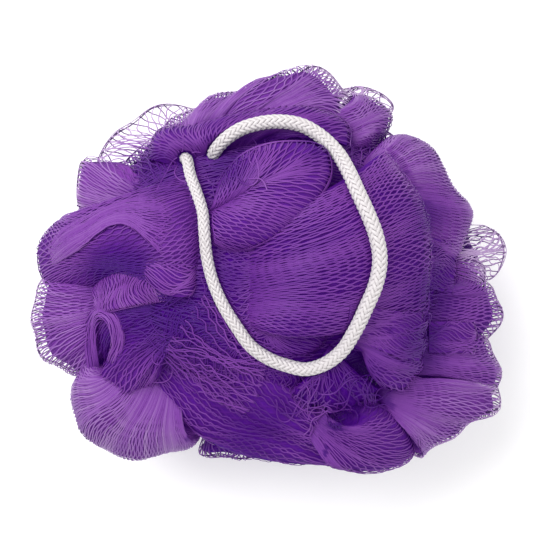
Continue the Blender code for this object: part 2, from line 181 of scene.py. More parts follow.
# Points on the middle line of the hanging cord, as in the solids, in mm
CORD_ROUTE = [
    (-22.0, 28.8, 57.5), (-20.9, 24.4, 61.6), (-19.2, 19.9, 64.8), (-17.5, 14.6, 68.0),
    (-17.0, 9.5, 69.8), (-16.5, 3.8, 69.0), (-15.3, -1.9, 67.9), (-12.4, -9.1, 67.2),
    (-8.8, -15.0, 66.4), (-5.0, -20.2, 65.0), (-0.3, -23.5, 63.6), (4.4, -25.3, 62.8),
    (9.1, -26.2, 63.5), (14.0, -24.8, 65.3), (18.3, -21.5, 67.2), (21.6, -16.3, 70.0),
    (24.7, -9.6, 72.0), (27.0, -3.9, 72.9), (28.0, 2.5, 73.4), (27.0, 8.5, 73.8),
    (24.7, 14.6, 73.6), (22.4, 19.8, 72.0), (20.2, 25.1, 68.8), (17.0, 30.8, 64.0),
    (12.9, 34.9, 62.0), (8.4, 37.5, 62.0), (3.1, 38.5, 62.1), (-2.7, 38.1, 61.7),
    (-8.0, 36.5, 61.0), (-11.7, 34.1, 60.2), (-14.4, 31.3, 57.8),
]

# How thick the braid is along the cord, as a share: it is pulled thin where it comes out of the gather
CORD_PULL = (0.78, 0.74, 0.73, 0.76, 0.84, 0.92, 0.97, 1.0, 1.0, 0.98, 0.95, 0.9, 0.85)

# How many strands of the braid run each way round the cord
BRAID_CARRIERS = 8

# Stretches of a strand of the braid for each time that it goes round the cord
LEAD_STEPS = 36

# Floor's size and the place that the lights aim at, and each light's place and size, in metres
FLOOR_SIZE = 3.0
LIGHT_AIM = (0, 0, 0.04)
LIGHTS = (
    ("key", (-0.28, 0.26, 0.55), 0.5),
    ("fill", (0.38, -0.2, 0.5), 0.6),
)

# Painted glow of strands and layers of net: emission that stands in for light passing through the plastic
STRAND_GLOW = 0.16
LAYER_GLOW = 0.26


class Fold:
    """One fold of the net: a flat pocket of two layers, stretched over ribs of given points.

    The first rib is its gathered root and the last one its free rim. open_net is the share of the fold,
    from the rim inwards, that has no inner layers behind it. tone is how milky its inner layers look, from
    0, a dark gap in painted shade, to 1; it also sets how light its strands are painted, so it is partly the
    net's own look and partly painted shade. gap is the distance between strands along the rim, in mm, and
    stretch is how much longer than usual its open cells are pulled. tangle is how far strands stray from
    their line. A lip stands up over deep places and keeps its painted light. Above the ceiling, in mm, a
    fold is pressed down.
    One that isn't backed has no layers or rim of its own, and a cut edge ends in loops."""

    def __init__(self, name, ribs, thick, lift=0.0, waves=0.0, wave_height=0.0, open_net=0.03, tone=0.45,
                 gap=1.2, stretch=1.0, tangle=0.0, lip=False, ceiling=None, backed=True, cut_edge=False,
                 zone="sides"):
        self.name = name
        self.ribs = [np.array(rib, float) for rib in ribs]
        self.thick = thick
        self.lift = lift
        self.waves = waves
        self.wave_height = wave_height
        self.open_net = open_net
        self.tone = tone
        self.gap = gap
        self.stretch = stretch
        self.tangle = tangle
        self.lip = lip
        self.ceiling = ceiling
        self.backed = backed
        self.cut_edge = cut_edge
        self.zone = zone


# Folds seen in the photograph's view, from the top of the ball to its rim, in mm
TOP_FOLDS = [
    Fold("left_wave", thick=3.5, lift=2.0, open_net=0.0, tone=0.45, gap=1.05, stretch=1.1, tangle=0.05,
         zone="left", ribs=[
        [(-21, 25, 57), (-18.5, 15, 63), (-17.5, 4.5, 64), (-18.5, -4, 62)],
        [(-36, 19, 56), (-34, 11.5, 61), (-29, 4.5, 64), (-24, -8, 61)],
        [(-47.5, 15, 50), (-48.5, 7.5, 53), (-42, 3, 55), (-34.5, 0, 56)],
        [(-53.5, 13.5, 44), (-63, 6, 40), (-62, -2.5, 41), (-48, -6.5, 46)],
    ]),
    Fold("upper_leaf", thick=3.5, lift=4.0, open_net=0.0, tone=0.32, gap=1.15, stretch=1.5, tangle=0.1,
         zone="centre", ribs=[
        [(-16, 14.5, 61)],
        [(-13.5, 22, 64), (-7.5, 29.5, 67), (4.5, 33, 67), (14.5, 31, 66),
         (16, 26, 67), (12.5, 18, 70), (4.5, 10.5, 71), (-5, 5.5, 69),
         (-12.5, 4, 64)],
    ]),
    Fold("centre_sheet", thick=4.0, lift=2.0, open_net=0.03, tone=0.25, gap=0.8, stretch=1.1, tangle=0.1,
         zone="centre", cut_edge=True, ribs=[
        [(-15, 9.5, 58), (-14.5, 2, 58), (-11.5, -7, 59), (-7, -15, 60)],
        [(8, 16.5, 65), (10.5, 6, 69), (10, -4, 69), (5, -17, 66)],
        [(30, 31.5, 58), (41, 14, 58), (42, -0.5, 58), (40.5, -13, 57)],
    ]),
    Fold("fan_right", thick=3.5, lift=3.0, waves=4, wave_height=0.8, open_net=0.04, tone=0.35, gap=0.8,
         stretch=1.2, tangle=0.12, zone="right", cut_edge=True, ribs=[
        [(17.5, -18, 64), (21.5, -20.5, 63)],
        [(41.5, -11.5, 56), (41, -18.5, 54), (40, -25.5, 52), (37.5, -30, 51),
         (31, -31.5, 51)],
    ]),
    Fold("fan_below", thick=3.5, lift=3.0, waves=5, wave_height=0.8, open_net=0.12, tone=0.12, gap=1.6,
         tangle=0.5, zone="bottom", ribs=[
        [(15.5, -20, 62)],
        [(3.5, -33, 52), (9.5, -36.5, 51), (16.5, -38, 51), (23.5, -37, 51),
         (31, -33, 51)],
    ]),
    Fold("under_lip", thick=3.0, lift=1.0, open_net=0.0, tone=0.2, gap=1.0, zone="bottom", ribs=[
        [(-9, -8, 60)],
        [(-5.5, -18, 59), (2, -22, 60), (10, -22.5, 61), (14, -19.5, 62),
         (15.5, -16, 62)],
    ]),
    Fold("hook_fold", thick=3.5, lift=2.0, open_net=0.0, tone=0.5, gap=1.1, stretch=1.1, zone="left", ribs=[
        [(-19.5, -4.5, 56), (-20.5, -8.5, 55)],
        [(-29.5, 1, 57), (-37.5, -5.5, 55), (-38, -16.5, 52)],
        [(-38.5, 1.5, 54), (-44.5, -2.5, 52), (-47.5, -12.5, 49), (-44.5, -25, 46)],
    ]),
    Fold("left_strip", thick=3.5, lift=3.0, waves=4, wave_height=0.8, open_net=0.0, tone=0.35, gap=1.4,
         stretch=1.1, tangle=0.4, zone="left", ribs=[
        [(-21, -6, 56), (-19.5, -9.5, 56), (-18.5, -14, 56)],
        [(-42.5, -15.5, 50), (-44.5, -25, 48), (-46, -32, 46), (-39.5, -34.5, 46),
         (-31.5, -31, 49), (-26, -24.5, 52)],
    ]),
    Fold("long_leaf", thick=4.0, lift=2.0, waves=3, wave_height=0.8, open_net=0.0, tone=0.28, gap=1.6,
         stretch=0.9, tangle=0.45, zone="bottom", ribs=[
        [(-32, -16.5, 52), (-34.5, -28, 48)],
        [(-12, -20, 56), (-18, -44.5, 41)],
        [(8, -31, 53), (-2, -50.5, 38)],
        [(22, -46.5, 46), (20.5, -53.5, 39)],
    ]),
    Fold("bottom_lobe", thick=4.0, lift=5.0, open_net=0.0, tone=0.35, gap=1.3, stretch=1.2, tangle=0.15,
         zone="bottom", ribs=[
        [(14, -34.5, 52), (10, -38.5, 50), (9.5, -44, 46)],
        [(19, -35.5, 53), (29, -36.5, 52), (35.5, -42, 48), (39, -48, 43),
         (39, -51, 40), (35, -53, 38), (27, -52, 38), (19.5, -51, 39),
         (14, -46.5, 44)],
    ]),
    Fold("lower_right", thick=4.0, lift=3.0, waves=5, wave_height=1.2, open_net=0.07, tone=0.65, gap=0.9,
         stretch=1.3, zone="right", ribs=[
        [(30.5, -28, 48), (28, -33, 50), (30.5, -39, 47)],
        [(38.5, -29.5, 46), (52, -30.5, 41), (63, -33, 36), (63, -37.5, 34),
         (58, -40.5, 34), (49.5, -45.5, 34), (40.5, -51.5, 36), (34.5, -43.5, 45)],
    ]),
    Fold("right_low", thick=4.0, lift=3.0, waves=4, wave_height=1.2, open_net=0.05, tone=0.45, gap=0.95,
         stretch=1.2, zone="right", ribs=[
        [(32, -17, 46), (30.5, -22, 48), (33, -28, 46)],
        [(46, -16.5, 44), (59, -19, 38), (61.5, -23, 36), (63, -27.5, 35),
         (63, -32.5, 35), (49, -32.5, 42)],
    ]),
    Fold("right_mid", thick=4.0, lift=3.0, waves=4, wave_height=1.2, open_net=0.1, tone=0.35, gap=0.95,
         stretch=1.2, zone="right", ribs=[
        [(33, -4.5, 44), (31.5, -9.5, 46), (33, -15.5, 44)],
        [(46, -1, 42), (58.5, -3, 36), (62, -6.5, 34), (64, -11, 34),
         (62, -17, 35), (59.5, -20, 36), (46, -21, 42)],
    ]),
    Fold("lace_right", thick=3.0, lift=1.0, open_net=0.8, tone=0.8, gap=2.2, stretch=1.3, zone="right",
         ribs=[
        [(41, 3.5, 40)],
        [(55.5, 12, 33), (60.5, 11.5, 31), (64.5, 8.5, 30), (65.5, 5, 30),
         (64.5, 1.5, 31), (61.5, -2.5, 32), (53, -2, 35)],
    ]),
    Fold("upper_right", thick=4.5, lift=4.0, waves=4, wave_height=1.0, open_net=0.02, tone=0.7, gap=0.65,
         stretch=1.5, zone="top", ribs=[
        [(22, 26.5, 50), (20.5, 19.5, 52), (24.5, 10, 52)],
        [(31, 34, 44), (36, 35.5, 42), (43.5, 33.5, 40), (46.5, 28, 39),
         (51, 21.5, 38), (55, 14.5, 37), (53.5, 8, 38), (49, 2, 40),
         (40.5, 2, 46)],
    ]),
    Fold("top_small", thick=4.0, lift=3.0, open_net=0.08, tone=0.65, gap=0.75, stretch=1.2, zone="top",
         ribs=[
        [(14, 39, 46), (14, 34.5, 48), (19, 30, 48)],
        [(22.5, 48, 42), (29, 46, 39), (33, 42, 37), (31, 36, 39),
         (28, 30.5, 44)],
    ]),
    Fold("lace_top", thick=3.0, lift=1.0, open_net=0.7, tone=0.8, gap=2.0, zone="top", ribs=[
        [(14, 40.5, 40)],
        [(17.5, 48.5, 38), (21, 49.5, 36), (27.5, 49.5, 35), (31.5, 47.5, 35),
         (34, 44.5, 35), (32, 41.5, 36)],
    ]),
    Fold("top_rim", thick=4.5, lift=4.0, waves=5, wave_height=1.2, open_net=0.1, tone=0.6, gap=0.95,
         stretch=1.2, zone="top", ribs=[
        [(-24, 27.5, 46), (-17, 30.5, 48), (-8, 33, 50)],
        [(-29.5, 36.5, 46), (-20.5, 43, 42), (-15, 46.5, 41), (-5.5, 49, 40),
         (4, 52, 40), (12, 55, 40), (15.5, 53.5, 40), (20, 49, 42),
         (22, 42.5, 46), (18.5, 35.5, 52)],
    ]),
    Fold("back_sheet", thick=4.0, lift=4.0, waves=3, wave_height=0.8, open_net=0.0, tone=0.35, gap=1.2,
         stretch=1.2, zone="top", ribs=[
        [(-22.5, 26.5, 50), (-14.5, 29, 52), (-2, 32, 54)],
        [(-33, 29, 48), (-30, 37, 48), (-20, 39, 50), (-5.5, 42, 51),
         (10.5, 43, 52), (21, 38, 54), (21, 32, 57)],
    ]),
    Fold("lace_left", thick=3.0, lift=1.0, waves=3, wave_height=0.8, open_net=0.6, tone=0.8, gap=2.6,
         stretch=1.5, zone="top", ribs=[
        [(-20, 24, 40)],
        [(-47, 20.5, 36), (-48, 27.5, 34), (-47.5, 31, 33), (-43.5, 36.5, 32),
         (-39.5, 40, 31), (-33.5, 44, 31), (-27, 45.5, 32), (-21, 44, 35)],
    ]),
    Fold("spike", thick=3.5, lift=1.8, open_net=0.03, tone=0.75, gap=0.55, stretch=1.6, zone="left", ribs=[
        [(-32, 12.5, 50), (-28, 17, 50), (-23, 21, 50)],
        [(-49.5, 12.5, 44), (-52, 17.5, 43), (-52.3, 23, 43), (-51, 29, 42),
         (-49.8, 26.2, 42), (-46.5, 23, 43), (-42, 24, 45), (-37.5, 26.5, 47)],
    ]),
    Fold("left_lower", thick=4.5, lift=3.0, waves=4, wave_height=1.0, open_net=0.14, tone=0.6, gap=0.9,
         stretch=1.3, zone="left", ribs=[
        [(-39.5, -3.5, 48), (-38, -10, 48), (-38.5, -18.5, 46)],
        [(-61.5, -2, 41), (-63, -5, 40), (-65, -11, 38), (-65, -14.5, 37),
         (-64, -21.5, 36), (-60.5, -25.5, 35), (-56.5, -27.5, 35), (-52, -27.5, 36),
         (-46.5, -26.5, 39)],
    ]),
    Fold("left_lobe", thick=5.5, lift=4.0, waves=4, wave_height=1.0, open_net=0.0, tone=0.8, gap=0.65,
         stretch=1.6, zone="left", ribs=[
        [(-41, -25, 45), (-29.5, -26, 47), (-20, -33.5, 45)],
        [(-46.5, -26.5, 41), (-52, -30.5, 38), (-54.5, -35.5, 36), (-52.5, -41.5, 34),
         (-50, -46.5, 33), (-42.5, -51, 31), (-33.5, -51, 31), (-25.5, -49, 32),
         (-18.5, -44.5, 36), (-20, -38.5, 43)],
    ]),
    Fold("dark_tip", thick=3.0, lift=1.0, open_net=0.12, tone=0.05, gap=1.7, zone="bottom", ribs=[
        [(-9.5, -39.5, 36)],
        [(-18.5, -46.5, 31), (-19.5, -51.5, 29), (-13.5, -52, 28), (-7.5, -53, 28),
         (-1, -51.5, 29)],
    ]),
]

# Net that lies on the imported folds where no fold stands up, in mm
COVERS = [
    Fold("gather_cover", thick=0.7, tone=0.15, gap=1.15, zone="centre", ribs=[
        [(-17.4, 19, 63.4), (-17.1, 7.4, 65.3), (-15, -4.2, 65.8), (-9.9, -13.8, 65),
         (-5.2, -19, 63.4)],
        [(-2.1, 17.8, 66), (-1.1, 7.4, 67.1), (0, -0.3, 67.3), (1.3, -9.4, 66.4),
         (5.2, -18.5, 63.9)],
    ]),
    Fold("lower_cover", thick=0.7, lift=0.4, tone=0.1, gap=1.7, stretch=1.3, tangle=0.3, zone="bottom",
         ribs=[
        [(-17, -8.2, 65.1), (-11.8, -17.3, 63.6), (-3.9, -24.3, 61.2), (7.8, -28, 58.3)],
        [(-29.2, -10.8, 60.8), (-26.1, -21.2, 58), (-17, -30.3, 54.7), (-2.6, -35.5, 51.6),
         (10.4, -34.2, 51.7)],
    ]),
    Fold("wave_lip", thick=0.6, tone=0.45, gap=0.75, stretch=1.3, lip=True, zone="left", ribs=[
        [(-21.6, 22.8, 58.7), (-24.2, 11.1, 66.1), (-26.4, 1.7, 67.7)],
        [(-31.5, 19.8, 61), (-31.1, 12.5, 66.5), (-31, 6.6, 68.7)],
        [(-37.8, 17.8, 60.9), (-37.7, 14.3, 64.1), (-37.7, 11.6, 65.7)],
        [(-44, 15.7, 59.1), (-43.1, 12.9, 62.2), (-42.5, 10.6, 63.8)],
        [(-49.2, 13.4, 56.6), (-48.3, 9.7, 59.7), (-47.8, 6.7, 60.7)],
        [(-54.9, 10.9, 52.5), (-53.8, 6.9, 55.5), (-53, 3.6, 55.9)],
        [(-59.8, 6.1, 47.7), (-59.1, 3.1, 48.1), (-58.7, 0.7, 47.7)],
    ]),
    Fold("hook_lip", thick=0.7, tone=0.45, gap=0.7, stretch=1.6, lip=True, zone="left", ribs=[
        [(-49, -27.8, 48.3), (-47.4, -26.9, 47.7), (-46.1, -26.2, 47.3)],
        [(-49.8, -20.5, 48.1), (-47.8, -20.3, 49.8), (-46.3, -20.1, 51)],
        [(-49.3, -13.8, 49.8), (-47.4, -14.6, 51.9), (-45.7, -15.2, 54.4)],
        [(-45.7, -10.2, 54.1), (-45.1, -11.9, 55.8), (-44.7, -13.3, 56.4)],
        [(-40.9, -11.2, 57.5), (-42.1, -12.9, 57.6), (-43.1, -14.3, 57.2)],
        [(-38.7, -16.8, 55.9), (-40.6, -17.9, 56), (-42.2, -18.9, 55.4)],
        [(-40.5, -27, 52.9), (-42.2, -25.8, 52.3), (-43.7, -25, 50.2)],
    ]),
    Fold("hook_edge", thick=0.6, tone=0.45, gap=0.8, stretch=1.4, lip=True, zone="left", ribs=[
        [(-47.6, -5.2, 51.3), (-43.4, -2.2, 56.9), (-37.7, -0.9, 62.6), (-31.7, -1.9, 65.6),
         (-26.5, -5, 65.6)],
        [(-47.1, -8.7, 51.9), (-42.3, -7.1, 58.8), (-37.2, -5.9, 61.1), (-31.5, -5.8, 64.1),
         (-26.6, -6.7, 64.6)],
        [(-46.7, -11.5, 52.5), (-41.6, -11.1, 59), (-36.7, -10, 60.8), (-31.5, -9, 61.3),
         (-26.7, -8.2, 63)],
    ]),
    Fold("wave_nose", thick=0.7, tone=0.35, gap=0.85, stretch=1.2, lip=True, zone="left", ribs=[
        [(-34.3, 3.8, 65.9), (-33.8, 0.7, 65.3), (-33.4, -1.9, 64.3)],
        [(-29.8, 3.3, 67), (-29.3, -1.6, 68.2), (-29, -5.5, 67.4)],
        [(-25.4, 3, 67.3), (-25.1, -2.8, 68), (-24.9, -7.6, 66.4)],
        [(-21.8, 2.8, 66.2), (-21.5, -2.8, 67), (-21.3, -7.3, 66.1)],
        [(-19, 2.3, 64.2), (-19, -1.2, 64.2), (-19.1, -4, 63.9)],
    ]),
    Fold("lower_cross", thick=0.5, tone=0.15, gap=2.2, stretch=1.3, tangle=0.35, open_net=0.0, lip=True,
         backed=False, zone="bottom", ribs=[
        [(-16.6, -6, 66.3), (-21.9, -12.9, 63.6), (-26.8, -20, 59.9), (-29.2, -27.4, 54.3)],
        [(-12.5, -9.7, 66.3), (-16.7, -17, 63.5), (-20.6, -24.6, 58.8), (-22.9, -31.7, 53.9)],
        [(-7.8, -15.9, 65.3), (-11, -22.3, 62.3), (-14.8, -29.4, 57.8), (-17, -34.3, 54.5)],
        [(-0.5, -21.2, 63.6), (-1.1, -27.1, 60.3), (-3.2, -33.6, 57.4), (-6.4, -38.6, 54.2)],
    ]),
    Fold("centre_skirt", thick=0.6, tone=0.4, gap=0.85, stretch=1.1, tangle=0.1, zone="right", ribs=[
        [(20.5, -9, 72.6), (20, -13.7, 70.5), (20.2, -18.5, 65.2)],
        [(27.3, -9.9, 68.8), (27, -15.4, 65.9), (26.4, -20.6, 66)],
        [(34.4, -10.8, 63.7), (34.1, -17, 64.2), (33.3, -23.3, 63.7)],
        [(40.2, -11.4, 59), (40.6, -18.3, 57.7), (39.9, -25.2, 56.2)],
    ]),
    Fold("right_gap", thick=0.5, tone=0.3, gap=0.9, stretch=1.7, tangle=0.1, zone="right", ribs=[
        [(42.6, 8.7, 52.8), (42.9, 1.8, 52.2), (42.7, -5.7, 51.6)],
        [(45.5, 8.2, 50.8), (46.3, 1.3, 47.8), (45.9, -6.3, 48.5)],
        [(49, 7.2, 47.4), (50.5, 0.2, 42.6), (49, -6.8, 47.7)],
    ]),
    Fold("ruffle_gap", thick=0.5, tone=0.4, gap=0.9, stretch=1.4, tangle=0.1, zone="sides", ribs=[
        [(42.6, -13.8, 49.2), (42.5, -18.5, 51), (42.5, -22.8, 50.8)],
        [(48.4, -13.8, 47.9), (48.9, -18.4, 47.9), (48.3, -22.9, 49.1)],
        [(55.2, -14.4, 45.2), (56.2, -18.5, 43.2), (55.1, -23.1, 45.3)],
    ]),
]

# Spots of painted shade where the net dives into the gather: x, y and radius in mm, and how much painted
# light is lost there
PAINTED_SHADE_SPOTS = (
    (-28.0, -10.5, 5.5, 0.5),
    (-23.5, -13.5, 6.0, 0.4),
    (-18.5, -17.0, 5.5, 0.3),
    (-33.0, -14.0, 4.5, 0.4),
    (-43.3, -0.6, 5.5, 0.85),
    (-38.9, -0.1, 5.5, 0.85),
    (-34.6, -0.6, 5.0, 0.8),
    (-39.8, 4.4, 7.0, 0.4),
    (-32.3, 1.7, 5.0, 0.2),
    (-39.0, -9.8, 4.0, 0.6),
    (-34.2, -8.7, 4.0, 0.65),
    (-29.4, -8.0, 4.5, 0.7),
    (-43.9, -18.4, 4.0, 0.6),
    (-43.3, -22.2, 4.0, 0.6),
    (-34.5, -20.2, 7.0, 0.3),
    (-51.3, -1.7, 6.0, 0.25),
    (-22.0, -12.0, 8.0, 0.8),
    (-25.0, -22.0, 6.0, 0.55),
    (-14.0, -22.0, 7.0, 0.5),
    (-12.0, 27.0, 7.0, 0.6),
    (12.0, 33.0, 6.0, 0.5),
    (-12.0, -2.0, 8.0, 0.45),
    (8.0, -22.0, 9.0, 0.35),
    (22.0, -32.0, 9.0, 0.6),
    (40.0, -20.0, 9.0, 0.6),
    (44.0, -5.0, 8.0, 0.55),
    (43.0, 14.0, 7.0, 0.5),
    (-38.0, -14.0, 6.0, 0.6),
    (-30.0, 27.0, 7.0, 0.5),
    (-6.0, -45.0, 9.0, 0.5),
    (2.0, -38.0, 8.0, 0.4),
    (12.0, 2.0, 16.0, 0.2),
)

# Bits of loose curled strand on the net: x, y and spread in mm, how many, and their length in mm
LOOSE_ENDS = (
    (-20.5, -13.0, 7.0, 26, 18.0),
    (-22.0, -21.0, 6.0, 18, 16.0),
    (12.0, -33.0, 8.0, 16, 14.0),
    (24.0, -33.0, 7.0, 12, 14.0),
    (-14.0, 26.5, 4.0, 9, 11.0),
    (-7.0, 27.0, 5.0, 8, 11.0),
    (-24.0, 29.0, 5.0, 8, 11.0),
)


def knots(points):
    """Distance run along the points, as a share of the whole."""
    steps = np.linalg.norm(np.diff(points, axis=0), axis=-1)
    if steps.ndim > 1:
        steps = steps.mean(axis=1)
    run = np.concatenate([[0.0], np.cumsum(steps)])
    return run / run[-1]


def smooth_through(points, places):
    """A smooth curve through points, or through rows of points, read at places from 0 to 1."""
    if len(points) == 1:
        return np.repeat(points, len(places), axis=0)
    at = knots(points)
    slopes = np.gradient(points, at, axis=0)
    left = np.clip(np.searchsorted(at, places, side="right") - 1, 0, len(at) - 2)
    span = at[left + 1] - at[left]
    t = (places - at[left]) / span
    shape = (-1,) + (1,) * (points.ndim - 1)
    t, span = t.reshape(shape), span.reshape(shape)
    return ((2 * t**3 - 3 * t**2 + 1) * points[left] + (t**3 - 2 * t**2 + t) * span * slopes[left]
            + (3 * t**2 - 2 * t**3) * points[left + 1] + (t**3 - t**2) * span * slopes[left + 1])


def unit(vectors):
    return vectors / np.maximum(np.linalg.norm(vectors, axis=-1, keepdims=True), 1e-9)


def grid_normals(grid):
    """Unit normals of a grid of points, turned away from the body's centre."""
    normal = np.cross(np.gradient(grid, axis=0), np.gradient(grid, axis=1))
    size = np.linalg.norm(normal, axis=2, keepdims=True)
    inner = normal[1:-1, 1:-1].sum(axis=(0, 1))
    outward = grid.mean(axis=(0, 1)) - np.array(BODY_CENTRE)
    side = 1.0 if np.dot(inner, outward) >= 0 else -1.0
    mean = side * unit(inner)
    return np.where(size > 1e-6, side * normal / np.maximum(size, 1e-6), mean)


def fold_layers(fold, u, v, reach=1.0, slimmer=0.0):
    """Front and back layer of a fold at places u from root to rim and v across. reach below 1 gives an
    inner pocket that ends before the rim, and slimmer is how much thinner it is on each side, in mm."""
    ribs = np.stack([smooth_through(rib, v) for rib in fold.ribs])
    at = u * reach
    grid = smooth_through(ribs, at)
    normal = grid_normals(grid)
    at, u, v = at[:, None, None], u[:, None, None], v[None, :, None]
    lift = fold.lift * np.sin(math.pi * at)
    wave = fold.wave_height * at**1.5 * np.sin(2 * math.pi * fold.waves * v)
    grid = grid + normal * (lift + wave)
    if fold.ceiling:
        above = np.maximum(grid[..., 2] - fold.ceiling, 0)
        grid[..., 2] -= CEILING_PRESS * above
    across = 2 * v - 1
    swell = np.sqrt(np.clip(1 - u**8, 0, 1) * np.clip(1 - across**8, 0, 1) * (1 - (1 - at)**6))
    half = normal * (fold.thick - slimmer) * swell
    return grid + half, grid - half


def rim_length(fold):
    """Length of the longest rib of a fold, in mm."""
    places = np.linspace(0, 1, 40)
    runs = [np.linalg.norm(np.diff(smooth_through(rib, places), axis=0), axis=1).sum() for rib in fold.ribs]
    return max(runs)


def fold_length(fold):
    """Length of a fold from root to rim, along its middle, in mm."""
    u = np.linspace(0, 1, 20)
    middle = smooth_through(np.stack([smooth_through(rib, np.array([0.5])) for rib in fold.ribs]), u)[:, 0]
    return np.linalg.norm(np.diff(middle, axis=0), axis=1).sum()


def ruffle(elevation, turn, roll, share):
    """Ribs of a fan of net from the body's centre, with its middle at an elevation and turn."""
    out = np.array([math.cos(elevation) * math.cos(turn), math.cos(elevation) * math.sin(turn),
                    math.sin(elevation)])
    level = np.array([-math.sin(turn), math.cos(turn), 0.0])
    side = math.cos(roll) * level + math.sin(roll) * np.cross(out, level)
    centre = np.array(BODY_CENTRE)
    rim = []
    for step in np.linspace(-1, 1, 7):
        heading = math.cos(step * RUFFLE_SPREAD) * out + math.sin(step * RUFFLE_SPREAD) * side
        rim.append(centre + heading * share * np.array(RUFFLE_REACH))
    return [[tuple(centre)], [tuple(point) for point in rim]]


def ruffles():
    """The folds round the sides and underneath, ring by ring."""
    folds = []
    for ring, (count, elevation, roll) in enumerate(RUFFLE_RINGS):
        for k in range(count):
            turn = 2 * math.pi * (k + 0.5 * ring) / count
            lean = math.radians(roll) * (1 if k % 2 else -0.7)
            ribs = ruffle(math.radians(elevation), turn, lean, RUFFLE_SHARES[ring][k])
            open_net = OPEN_RIM if ring == 0 and k in OPEN_RUFFLES else CLOSED_RIM
            folds.append(Fold(f"ruffle_{ring}_{k}", ribs, RUFFLE_THICKNESS, waves=1.5 if k % 2 else 2,
                              wave_height=RUFFLE_WAVE, open_net=open_net, tone=0.5, gap=1.0, stretch=1.8,
                              ceiling=RUFFLE_CEILING, zone="underside" if ring else "sides"))
    return folds


def ball_cover():
    """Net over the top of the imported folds, seen where the folds that stand up leave a gap."""
    ribs = []
    for x in np.linspace(*BALL_COVER_X, 7):
        left_over = 1 - ((x - BODY_CENTRE[0]) / BODY_HALF[0])**2
        reach = BALL_COVER_REACH * math.sqrt(left_over)
        rib = []
        for share in np.linspace(-reach, reach, 7):
            height = math.sqrt(left_over - share**2)
            rib.append((x, BODY_CENTRE[1] + share * BODY_HALF[1], BODY_CENTRE[2] + BODY_HALF[2] * height))
        ribs.append(rib)
    return Fold("ball_cover", ribs, thick=0.5, tone=0.15, gap=1.0, stretch=1.3, tangle=0.3, open_net=0.0,
                zone="centre")


def belly_covers():
    """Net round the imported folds, seen from the sides between the folds that stand out."""
    covers = []
    x, y, z = BODY_CENTRE
    half = np.array(BODY_HALF) + BELLY_LIFT
    for k in range(BELLY_COVERS):
        turns = 2 * math.pi * (k + np.linspace(-0.05, 1.05, 7)) / BELLY_COVERS
        ribs = []
        for elevation in np.radians(BELLY_ELEVATIONS):
            flat, height = half * math.cos(elevation), z + half[2] * math.sin(elevation)
            ribs.append([(x + flat[0] * math.cos(turn), y + flat[1] * math.sin(turn), height)
                         for turn in turns])
        covers.append(Fold(f"belly_{k}", ribs, thick=0.4, tone=0.35, gap=1.7, stretch=1.6, tangle=0.15,
                           open_net=0.0, backed=False, zone="underside"))
    return covers


def all_folds():
    """Every fold and cover of net, in the order in which they are made."""
    return TOP_FOLDS + COVERS + [ball_cover()] + ruffles() + belly_covers()


def cord_line(step):
    """The cord's middle line in mm, from the tie round the loop and back, at even steps."""
    x, y, z = TIE_CENTRE
    end = z + TIE_TWINE / 2 + CLEARANCE
    half_way = (end + CORD_ROUTE[0][2]) / 2
    route = np.array([(x - TIE_RADIUS, y, end), (x - TIE_RADIUS + CORD_LEAN, y + CORD_LEAN, half_way)]
                     + CORD_ROUTE
                     + [(x + TIE_RADIUS - CORD_LEAN, y + CORD_LEAN, half_way), (x + TIE_RADIUS, y, end)])
    fine = smooth_through(route, np.linspace(0, 1, 1500))
    run = np.concatenate([[0.0], np.cumsum(np.linalg.norm(np.diff(fine, axis=0), axis=1))])
    count = int(round(run[-1] / step)) + 1
    even = np.linspace(0, run[-1], count)
    return np.stack([np.interp(even, run, fine[:, axis]) for axis in range(3)], axis=1), even


class CordRoom:
    """Keeps the net clear of the cord that lies on it."""

    def __init__(self, radius):
        self.line, _ = cord_line(1.0)
        self.radius = radius

    def press(self, points):
        """Moves points in mm that lie inside the cord's room out to its surface."""
        flat = points.reshape(-1, 3)
        low, high = self.line.min(axis=0) - self.radius, self.line.max(axis=0) + self.radius
        near = np.where(np.all((flat > low) & (flat < high), axis=1))[0]
        for start in range(0, len(near), 20000):
            some = near[start:start + 20000]
            gaps = np.linalg.norm(flat[some][:, None] - self.line[None], axis=2)
            nearest = gaps.argmin(axis=1)
            gap = gaps[np.arange(len(some)), nearest]
            inside = gap < self.radius
            away = flat[some] - self.line[nearest]
            away[:, 2] = np.minimum(away[:, 2], 0.4 * np.abs(away[:, 2]))
            moved = self.line[nearest] + unit(away) * self.radius
            flat[some[inside]] = moved[inside]
        return flat.reshape(points.shape)


class Netting:
    """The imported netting's surface: how deep a point lies in it, and how open to light its folds are."""

    def __init__(self):
        mesh = frame["nodes"]["netting"].data
        self.tree = BVHTree.FromPolygons([v.co[:] for v in mesh.vertices],
                                         [p.vertices[:] for p in mesh.polygons])
        self.corners = [tuple(p.vertices) for p in mesh.polygons]
        self.light = self.openness(mesh)

    def openness(self, mesh):
        """Share of directions that reach the open from each corner of the netting, from 0 to 1."""
        rng = np.random.default_rng(LIGHT_SEED)
        spread = unit(rng.normal(size=(OPEN_RAYS, 3)))
        light = np.zeros(len(mesh.vertices))
        for corner in mesh.vertices:
            normal = np.array(corner.normal)
            start = Vector(np.array(corner.co) + normal * RAY_START * MM)
            free = 0.0
            for ray in spread:
                heading = unit(normal + RAY_SPREAD * ray)
                hit = self.tree.ray_cast(start, Vector(heading), OPEN_REACH * MM)
                free += 1.0 if hit[0] is None else FOLD_LIGHT * hit[3] / (OPEN_REACH * MM)
            light[corner.index] = free / OPEN_RAYS
        return light

    def read(self, points):
        """Depth inside the netting in mm, below 0 outside it, and openness at points in mm."""
        depth, light = np.zeros(len(points)), np.zeros(len(points))
        for k, point in enumerate(points * MM):
            at = Vector(point)
            place, normal, face, gap = self.tree.find_nearest(at)
            depth[k] = gap / MM if normal.dot(at - place) < 0 else -gap / MM
            light[k] = self.light[list(self.corners[face])].mean()
        return depth, light


@functools.cache
def packed_netting():
    return Netting()


